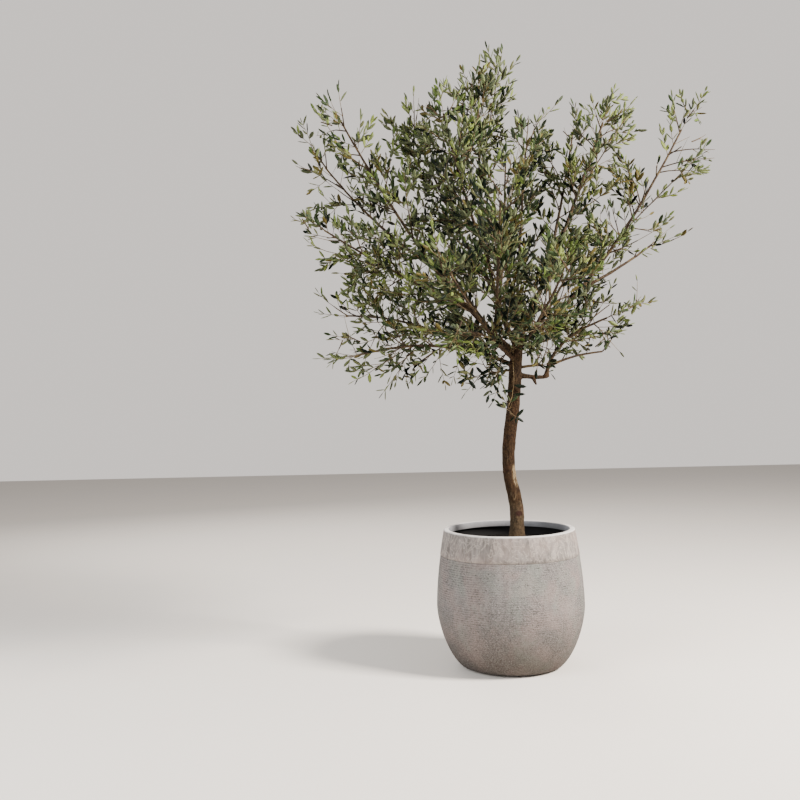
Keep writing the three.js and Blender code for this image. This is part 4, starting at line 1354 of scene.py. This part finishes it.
def bark_tubes(plans):
    stations = [trunk_at(height) for height in np.linspace(TRUNK_FOOT - 4, TRUNK_TOP + 6, 60)]
    tubes = [([place for place, _ in stations], [radius for _, radius in stations])]
    return tubes + knot_tubes() + [bough_tube(plan) for plan in plans if plan.entry > 0]


def remeshed(mesh, voxel):
    """The tubes fused into one skin"""
    drawn = new_object("fusing", mesh)
    fuse = drawn.modifiers.new("fuse", "REMESH")
    fuse.mode = "VOXEL"
    fuse.voxel_size = voxel
    ease = drawn.modifiers.new("ease", "SMOOTH")
    ease.factor = 0.5
    ease.iterations = 3
    return finished_mesh(drawn)


def bark_noise(place, across, along):
    """Noise with one scale across the limbs and one up them"""
    return noise.noise(Vector((place.x * across, place.y * across, place.z * along)))


def ridged(place):
    """Bark relief: steep-sided ridges that run up the limb"""
    return 1 - 2.2 * abs(bark_noise(place, 95, 26)) + 0.45 * bark_noise(place, 260, 75)


def make_bark(look):
    """The skin of the trunk and boughs, with ridges that are deepest on the trunk"""
    plans, _ = grown_tree()
    mesh = remeshed(tube_mesh("bark_tubes", bark_tubes(plans), 6), look.voxel)
    bm = bmesh.new()
    bm.from_mesh(mesh)
    bm.normal_update()
    for vert in bm.verts:
        height = vert.co.z / MM
        centre, radius = trunk_at(height)
        on_trunk = math.hypot(vert.co.x / MM - centre[0], vert.co.y / MM - centre[1]) < 1.3 * radius
        depth = look.relief * (1 if on_trunk and height < TRUNK_TOP else BOUGH_RELIEF)
        swell = TRUNK_SWELL * MM * noise.noise(vert.co * 28) if on_trunk else 0
        vert.co += vert.normal * (depth * (ridged(vert.co) - 0.55) + swell)
    return mesh_from(bm, "bark")


# Twigs and leaves

class Crown:
    """The fine twigs, and the leaves by their colour"""

    def __init__(self, look):
        self.look = look
        self.random = random.Random(look.seed)
        self.gaps = random.Random(look.seed + 1)
        self.wood = []
        self.shoots = []
        self.leaves = {tone: [] for tone in TONES}

    def about(self, value, spread):
        return value * (1 + spread * (2 * self.random.random() - 1))

    def deal_tone(self, share):
        """A colour for one spray: bright at the tips of the crown, and deep inside it as painted shade
        """
        weights = [inner + (outer - inner) * share for inner, outer in TONES.values()]
        return self.random.choices(list(TONES), weights)[0]

    def scattered(self, amount):
        return amount * np.array([2 * self.random.random() - 1 for _ in range(3)])


def tapered(ends):
    """The radius along a twig, from its root to its tip"""
    return lambda t: ends[0] + (ends[1] - ends[0]) * t


def inner_share(place):
    """0 in the lower heart of the crown and round the fork, 1 at its outside: low values deal the dark
    tones of painted shade
    """
    reach = np.linalg.norm((place - CROWN_HEART) / CROWN_REACH)
    off_fork = np.linalg.norm(place - FORK) / FORK_SHADE
    return float(min(1, reach ** 1.4) * min(1, off_fork ** 2))


def within_reach(place):
    """Whether a place lies in the box of the solids"""
    return bool((place > LOWEST).all() and (place < HIGHEST).all())


def shoot_curve(crown, root, out, length):
    """A shoot's curve, shortened where it would leave the box of the solids"""
    way = unit(out + UP * SHOOT_LIFT)
    while length > SHORTEST_SHOOT and not within_reach(root + way * (length + LEAF_ROOM)):
        length *= 0.85
    bend = root + out * (0.5 * length) + crown.scattered(0.06 * length)
    return Curve(root, bend, root + way * length)


def set_leaf(crown, tone, root, along, length, facing):
    across = np.cross(facing, along)
    if np.linalg.norm(across) < 1e-3:
        across = level_across(along)
    crown.leaves[tone].append((*root, *along, *unit(across), length))


def add_leaf(crown, tone, root, direction, length, facing):
    """A leaf whose upper side looks towards facing, as far as its direction lets it"""
    along = unit(direction)
    if not within_reach(root + along * length):
        return
    if shows_sky(root + along * (0.5 * length)) and crown.gaps.random() < SKY_SHARE:
        return
    set_leaf(crown, tone, root, along, length, facing)


def leaf_facing(crown, place):
    """Where a leaf's upper side looks: upwards and outwards, with much variety"""
    outward = np.array((place[0], place[1], 0.0)) / (1 + math.hypot(place[0], place[1]))
    return UP * 0.45 + outward * 0.35 + crown.scattered(1.0)


def add_pairs(crown, curve, across, tone, start, gap, largest):
    """Opposite pairs of leaves along a shoot, and one leaf at its end"""
    draw = crown.random.random
    count = max(1, round(curve.length * (1 - start) / gap))
    turn = 360 * draw()
    for i in range(count):
        t = start + (1 - start) * (i + 0.4) / count
        root, along = curve.point(t), curve.tangent(t)
        turn += PAIR_TURN + PAIR_TURN_RANGE * (draw() - 0.5)
        wide = unit(across - along * np.dot(across, along))
        spread = math.radians(turn)
        axis = unit(wide * (PAIR_FLATNESS * math.cos(spread)) + np.cross(along, wide) * math.sin(spread))
        for side in (1, -1):
            if draw() < MISSING_LEAVES:
                continue
            lean = math.radians(crown.about(PAIR_LEAN - PAIR_CLOSING * t, 0.25))
            way = along * math.cos(lean) + axis * (side * math.sin(lean)) + UP * LEAF_RISE
            length = crown.about(largest * (1 - 0.25 * t), 0.2)
            own = tone if draw() < SAME_TONE else crown.deal_tone(inner_share(root))
            add_leaf(crown, own, root, way, length, leaf_facing(crown, root))
    way = curve.tangent(1) + crown.scattered(0.12)
    length = crown.about(TIP_LEAF * largest, 0.12)
    add_leaf(crown, tone, curve.tip, way, length, leaf_facing(crown, curve.tip))


def add_shoot(crown, root, out, across, length, tone, start=SHOOT_BARE, fullness=1.0):
    """A leafy shoot, which is left out where the sky shows"""
    look = crown.look
    curve = shoot_curve(crown, root, out, length)
    if shows_sky(curve.point(0.6)) and crown.gaps.random() < SKY_SHARE:
        return curve
    largest = look.length / MM * min(1, 0.75 + length / 350)
    gap = look.pair_gap / MM * (OPEN_GAP if fullness < OPEN_FULLNESS else 1)
    crown.shoots.append(([curve.point(t) for t, _ in SHOOT_TAPER],
                         [SHOOT_RADIUS * share for _, share in SHOOT_TAPER]))
    add_pairs(crown, curve, across, tone, start, gap, largest)
    return curve


def fill_spray(crown, root, out, across, length, tone, fullness):
    """A shoot with side shoots, in the room of one leaf of the solids"""
    curve = add_shoot(crown, root, out, across, SHOOT_SHARE * length, tone, fullness=fullness)
    if length < SIDE_SPRAY_LENGTH or fullness < OPEN_FULLNESS:
        return
    for at in SIDE_SHOOTS[:1] if inner_share(root) > OUTER_SHARE else SIDE_SHOOTS:
        side = 1 if crown.random.random() < 0.5 else -1
        way = unit(curve.tangent(at) * 0.80 + across * (side * 0.55) + crown.scattered(0.22))
        add_shoot(crown, curve.point(at), way, across, SIDE_SHOOT_SHARE * length, tone, SIDE_SHOOT_BARE)


def fits_mass(plan, place):
    """Whether a place lies in the box of the mass and in the mass's own space"""
    low, high = plan.box
    reach = np.array(place) * MM
    return bool((reach > low).all() and (reach < high).all()) and in_own_space(plan, place, SPACE_MARGIN)


def add_fine_shoots(crown, plan, curve, start, end, spacing, length, radius_at, roll):
    """Finer shoots between the sprays, within the reach of the mass"""
    count = int(plan.fullness * curve.length * (end - start) / spacing)
    for i in range(count):
        at = start + (end - start) * (i + crown.random.random()) / count
        axes = limb_axes(curve, at, roll)
        way = leaning(axes, crown.about(FINE_LEAN, 0.25), SHOOT_TURN * i + 40 * crown.random.random())
        size = crown.about(length, 0.3)
        root = curve.point(at) + way * (0.4 * radius_at(at))
        if fits_mass(plan, root + way * (size + FINE_ROOM)):
            tone = crown.deal_tone(inner_share(root))
            across = unit(np.cross(axes[0], way))
            add_shoot(crown, root, way, across, size, tone, fullness=plan.fullness)


def wood_tube(crown, curve, start, end, radius_at, seed, waver=3.0):
    shares = np.linspace(start, end, max(4, int(curve.length * (end - start) / TUBE_STEP)))
    points = wavering([curve.point(t) for t in shares], waver, seed)
    crown.wood.append((points, [radius_at(t) for t in shares]))


def grow_foliage(crown, plan):
    """The twigs and sprays of the solids, with finer shoots between them"""
    low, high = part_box("foliage_" + plan.name)
    plan.box = (np.array(low) - MASS_MARGIN * MM, np.array(high) + MASS_MARGIN * MM)
    stem = plan.stem
    start = max(0, plan.entry - 4 / plan.length)
    wood_tube(crown, plan.curve, start, stem.wood_to, plan.radius_at, plan.index)
    for number, twig in enumerate(plan.twigs):
        wood_tube(crown, twig.curve, 0, twig.wood_to, lambda t: SLIM_TWIG * twig.radius_at(t),
                  10 * plan.index + number, 1.5)
    for twig in [stem] + plan.twigs:
        root, out = twig.curve.point(twig.wood_to), twig.curve.tangent(twig.wood_to)
        tone = crown.deal_tone(inner_share(root) + 0.15)
        fill_spray(crown, root, out, level_across(out), twig.spray_length, tone, plan.fullness)
    for spray in plan.sprays:
        tone = crown.deal_tone(inner_share(spray.tip))
        fill_spray(crown, spray.root, spray.out, spray.across, spray.length, tone, plan.fullness)
    fine = FINE_LENGTH * plan.size ** 0.5
    for number, twig in enumerate(plan.twigs):
        add_fine_shoots(crown, plan, twig.curve, 0.1, twig.wood_to, FINE_TWIG_GAP, fine,
                        twig.radius_at, 60 * number)
    start = min(stem.wood_to - 0.05, plan.entry + 20 / plan.length)
    add_fine_shoots(crown, plan, plan.curve, start, stem.wood_to, FINE_STEM_GAP, 1.2 * fine,
                    plan.radius_at, 0)


def leaf_out(crown, twig, shares, outer):
    """Shoots at some places along a twig, the last one straight on from its tip"""
    for number, share in enumerate(shares):
        lean = crown.about(OLD_SHOOT_LEAN, 0.3) * (number < len(shares) - 1)
        turn = SHOOT_TURN * number + 60 * crown.random.random()
        out = leaning(limb_axes(twig, share, 0), lean, turn)
        across = unit(np.cross(twig.tangent(share), out + 1e-3 * UP))
        tone = crown.deal_tone(outer)
        add_shoot(crown, twig.point(share), out, across, crown.about(OLD_SHOOT_LENGTH, 0.3), tone)


def grow_old_twigs(crown, plan):
    """Leafy twigs on a bough, from a little way off the trunk to where its mass starts"""
    start = BARE_FOOT / plan.length
    count = int(plan.length * (plan.entry - start) / OLD_TWIG_GAP * plan.fullness)
    for i in range(count):
        at = start + (plan.entry - start) * (i + crown.random.random()) / count
        lean = crown.about(OLD_TWIG_LEAN, 0.3)
        way = leaning(limb_axes(plan.curve, at, 0), lean, SHOOT_TURN * i + 60 * crown.random.random())
        root = plan.curve.point(at)
        twig = twig_curve(root, way, crown.about(OLD_TWIG_LENGTH, 0.4))
        wood_tube(crown, twig, 0, 1, tapered(OLD_TWIG_RADII), 7 * plan.index + i, 2)
        shoots = int(twig.length / OLD_SHOOT_GAP)
        shares = [(number + 1) / (shoots + 1) for number in range(shoots + 1)]
        leaf_out(crown, twig, shares, 0.6 * inner_share(root))


def grow_to_spot(crown, plans, spot, number):
    """A leafy twig from the nearest limb to a spot in the photograph"""
    goal = place_seen(*spot)
    gap, place, nearest = min((np.linalg.norm(plan.curve.point(t) - goal), place, t)
                              for place, plan in enumerate(plans) for t in np.linspace(0.12, 0.95, 24))
    plan = plans[place]
    at = max(0.08, nearest - 0.5 * gap / plan.length)
    root = plan.curve.point(at)
    tip = goal + unit(goal - root) * SPOT_OVERSHOOT
    bend = 0.5 * (root + tip) + plan.curve.tangent(at) * (0.2 * gap) - UP * 4
    twig = Curve(root, bend, tip)
    wood_tube(crown, twig, 0, 1, tapered(SPOT_TWIG_RADII), 300 + number, 2)
    shoots = max(3, int(twig.length / SPOT_SHOOT_GAP))
    shares = [0.3 + 0.7 * each / shoots for each in range(shoots + 1)]
    leaf_out(crown, twig, shares, 0.8 * inner_share(root))


def nearest_on(paths, goal):
    """The place on some twigs that is nearest to a goal"""
    places = []
    for points in paths:
        for a, b in zip(points, points[1:]):
            share = min(1, max(0, np.dot(goal - a, b - a) / np.dot(b - a, b - a)))
            place = a + (b - a) * share
            places.append((np.linalg.norm(place - goal), tuple(place)))
    return np.array(min(places)[1])


def hang_twigs(crown):
    """The twigs that hang by the trunk, with their leaves"""
    paths = [[place_seen(*row) for row in rows] for rows in HANGING_TWIGS]
    for points in paths:
        crown.shoots.append((points, list(np.linspace(1.5, 0.8, len(points)))))
    for right, down, tip_right, tip_down, depth in HANGING_LEAVES:
        root = nearest_on(paths, place_seen(right, down, depth))
        way = place_seen(tip_right, tip_down, depth - 6) - root
        reach = min(HANGING_LEAF_LENGTH, np.linalg.norm(way))
        facing = UP * 0.4 - np.array((0.0, 1.0, 0.0)) + crown.scattered(0.4)
        # The hanging leaves take the deep tone, which paints the shade round the trunk
        set_leaf(crown, "deep", root, unit(way), reach, facing)


@functools.lru_cache(maxsize=1)
def leafy_crown():
    crown = Crown(bpy.context.scene.olive_leaves)
    _, masses = grown_tree()
    for plan in masses:
        grow_foliage(crown, plan)
    for plan in masses:
        if plan.entry > 0:
            grow_old_twigs(crown, plan)
    for number, spot in enumerate(FULL_SPOTS):
        grow_to_spot(crown, masses, spot, number)
    hang_twigs(crown)
    return crown


def leaf_body(look):
    """One closed leaf a metre long: pointed, folded at its midrib and drooping"""
    half = 0.5 * look.width
    bm = bmesh.new()
    bmesh.ops.create_grid(bm, x_segments=4, y_segments=2, size=1)
    for vert in bm.verts:
        place, wide = LEAF_STATIONS[round(2 * (vert.co.x + 1))]
        fold = LEAF_FOLD * (1 - abs(vert.co.y)) * min(1, wide)
        vert.co = Vector((place, vert.co.y * wide * half, -fold - LEAF_DROOP * place ** 2))
    copy = bmesh.ops.duplicate(bm, geom=bm.faces[:] + bm.edges[:] + bm.verts[:])["geom"]
    for vert in (item for item in copy if isinstance(item, bmesh.types.BMVert)):
        inside = 1 - abs(vert.co.y) / max(1e-6, half)
        if 0.02 < vert.co.x < 0.98 and inside > 0.5:
            vert.co.z -= LEAF_THICKNESS
    bottom = [item for item in copy if isinstance(item, bmesh.types.BMFace)]
    bmesh.ops.reverse_faces(bm, faces=bottom)
    for face in bottom:
        face.material_index = 1
    bmesh.ops.remove_doubles(bm, verts=bm.verts, dist=1e-5)
    bmesh.ops.dissolve_degenerate(bm, dist=1e-6, edges=bm.edges)
    return bm


def arrayed(bm, name, rows):
    """One mesh of a body repeated for rows of place, direction, side and length"""
    bm.verts.index_update()
    shape = np.array([vert.co for vert in bm.verts])
    faces = [[vert.index for vert in face.verts] for face in bm.faces]
    kinds = np.array([face.material_index for face in bm.faces])
    rows = np.array(rows)
    count, size = len(rows), len(shape)
    along, across, length = rows[:, 3:6], rows[:, 6:9], rows[:, 9:10]
    axes = np.stack([along, across, np.cross(along, across)], 1) * (length * MM)[:, :, None]
    places = np.einsum("vk,nkj->nvj", shape, axes) + (rows[:, 0:3] * MM)[:, None, :]
    loops = np.array([index for face in faces for index in face])
    starts = np.cumsum([0] + [len(face) for face in faces[:-1]])
    shift = np.arange(count)[:, None]
    mesh = bpy.data.meshes.new(name)
    mesh.vertices.add(count * size)
    mesh.vertices.foreach_set("co", places.astype(np.float32).ravel())
    mesh.loops.add(count * len(loops))
    mesh.loops.foreach_set("vertex_index", (loops + shift * size).astype(np.int32).ravel())
    mesh.polygons.add(count * len(faces))
    mesh.polygons.foreach_set("loop_start", (starts + shift * len(loops)).astype(np.int32).ravel())
    mesh.polygons.foreach_set("material_index", np.tile(kinds, count).astype(np.int32))
    mesh.update(calc_edges=True)
    mesh.validate()
    mesh.shade_smooth()
    return mesh


# Operators

class OLIVE_OT_stage(bpy.types.Operator):
    """Sets the camera, the pale floor and the soft lights"""
    bl_idname = "olive.stage"
    bl_label = "Stage"

    def execute(self, context):
        look = context.scene.olive_studio
        place_camera(context.scene)
        make_floor(look)
        light_air(context.scene, look)
        for name, *setting in LIGHTS:
            add_light(name, getattr(look, name + "_power"), *setting)
        return {"FINISHED"}


def place_camera(scene):
    data = bpy.data.cameras.new("camera")
    data.lens = LENS
    data.sensor_width = SENSOR
    camera = new_object("camera", data)
    camera.matrix_world = Matrix.Translation(CAMERA_PLACE) @ camera_turn()
    scene.camera = camera


def make_floor(look):
    bm = bmesh.new()
    bmesh.ops.create_grid(bm, x_segments=2, y_segments=2, size=STAGE_REACH)
    floor = new_object("floor", mesh_from(bm, "floor"))
    shader = Shader("pale_floor")
    tone = shader.mix(shader.noise(3, detail=4), scaled(look.floor, 0.97), look.floor)
    floor.data.materials.append(shader.finish(tone, 0.9))


def light_air(scene, look):
    """Soft light from all round, and a paler backdrop where the camera looks past the tree"""
    world = bpy.data.worlds.new("studio_air")
    world.use_nodes = True
    nodes, links = world.node_tree.nodes, world.node_tree.links
    seen = nodes.new("ShaderNodeLightPath")
    shade = nodes.new("ShaderNodeMix")
    shade.data_type = "RGBA"
    shade.inputs[6].default_value = (*look.air, 1)
    shade.inputs[7].default_value = (*look.backdrop, 1)
    links.new(seen.outputs["Is Camera Ray"], shade.inputs[0])
    links.new(shade.outputs[2], nodes["Background"].inputs["Color"])
    scene.world = world


def add_light(name, watts, place, target, size, tint):
    data = bpy.data.lights.new(name, "AREA")
    data.energy = watts
    data.size = size
    data.color = tint
    way = Vector(target) - Vector(place)
    turn = way.to_track_quat("-Z", "Y").to_matrix().to_4x4()
    new_object(name, data).matrix_world = Matrix.Translation(place) @ turn


class OLIVE_OT_pot(bpy.types.Operator):
    """Turns the ribbed planter with its rounded lip"""
    bl_idname = "olive.pot"
    bl_label = "Planter"

    def execute(self, context):
        look = context.scene.olive_pot
        add_piece(make_pot(look), "planter", [fired_clay(look), lip_shade()], ["pot"])
        return {"FINISHED"}


class OLIVE_OT_soil(bpy.types.Operator):
    """Fills the planter with crumbly soil"""
    bl_idname = "olive.soil"
    bl_label = "Soil"

    def execute(self, context):
        look = context.scene.olive_soil
        add_piece(make_soil(look), "soil_bed", [potting_soil(look)], ["soil"])
        return {"FINISHED"}


class OLIVE_OT_bark(bpy.types.Operator):
    """Fuses the trunk and the boughs into one skin with bark relief"""
    bl_idname = "olive.bark"
    bl_label = "Trunk and boughs"

    def execute(self, context):
        look = context.scene.olive_bark
        woody = ["trunk"] + nodes_of("bough")
        add_piece(make_bark(look), "trunk_and_boughs", [trunk_bark(look)], woody)
        return {"FINISHED"}


class OLIVE_OT_twigs(bpy.types.Operator):
    """Grows the twigs and the fine shoots of every mass"""
    bl_idname = "olive.twigs"
    bl_label = "Twigs"

    def execute(self, context):
        look = context.scene.olive_bark
        crown = leafy_crown()
        masses = nodes_of("foliage")
        wood = tube_mesh("twigs", crown.wood, 2)
        add_piece(wood, "twigs", [twig_bark(look)], masses)
        shoots = tube_mesh("shoots", crown.shoots, 0)
        add_piece(shoots, "shoots", [shoot_bark(look)], masses)
        return {"FINISHED"}


class OLIVE_OT_leaves(bpy.types.Operator):
    """Sets the leaves on the shoots, one piece for each colour"""
    bl_idname = "olive.leaves"
    bl_label = "Leaves"

    def execute(self, context):
        look = context.scene.olive_leaves
        masses = nodes_of("foliage")
        bm = leaf_body(look)
        for tone, rows in leafy_crown().leaves.items():
            top = getattr(look, tone)
            finishes = [leaf_top(tone, top), leaf_underside(tone, top, look.underside)]
            add_piece(arrayed(bm, "leaves_" + tone, rows), "leaves_" + tone, finishes, masses)
        bm.free()
        return {"FINISHED"}


class OLIVE_PT_panel(bpy.types.Panel):
    """Lists the steps that build the tree"""
    bl_idname = "OLIVE_PT_panel"
    bl_label = "Potted olive tree"
    bl_space_type = "VIEW_3D"
    bl_region_type = "UI"
    bl_category = "Olive Tree"

    def draw(self, context):
        for operator in OPERATORS:
            self.layout.operator(operator.bl_idname)
        for key in LOOKS:
            box = self.layout.box()
            look = getattr(context.scene, key)
            for name in look.bl_rna.properties.keys():
                if name not in ("rna_type", "name"):
                    box.prop(look, name)


LOOKS = {"olive_pot": PotLook, "olive_soil": SoilLook, "olive_bark": BarkLook,
         "olive_leaves": LeafLook, "olive_studio": StudioLook}
OPERATORS = (OLIVE_OT_stage, OLIVE_OT_pot, OLIVE_OT_soil, OLIVE_OT_bark, OLIVE_OT_twigs,
             OLIVE_OT_leaves)


def register():
    for each in (*LOOKS.values(), *OPERATORS, OLIVE_PT_panel):
        bpy.utils.register_class(each)
    for key, look in LOOKS.items():
        setattr(bpy.types.Scene, key, PointerProperty(type=look))


def unregister():
    for key in LOOKS:
        delattr(bpy.types.Scene, key)
    for each in reversed((*LOOKS.values(), *OPERATORS, OLIVE_PT_panel)):
        bpy.utils.unregister_class(each)


def main():
    register()
    bpy.ops.olive.stage()
    bpy.ops.olive.pot()
    bpy.ops.olive.soil()
    bpy.ops.olive.bark()
    bpy.ops.olive.twigs()
    bpy.ops.olive.leaves()


if __name__ == "__main__":
    main()
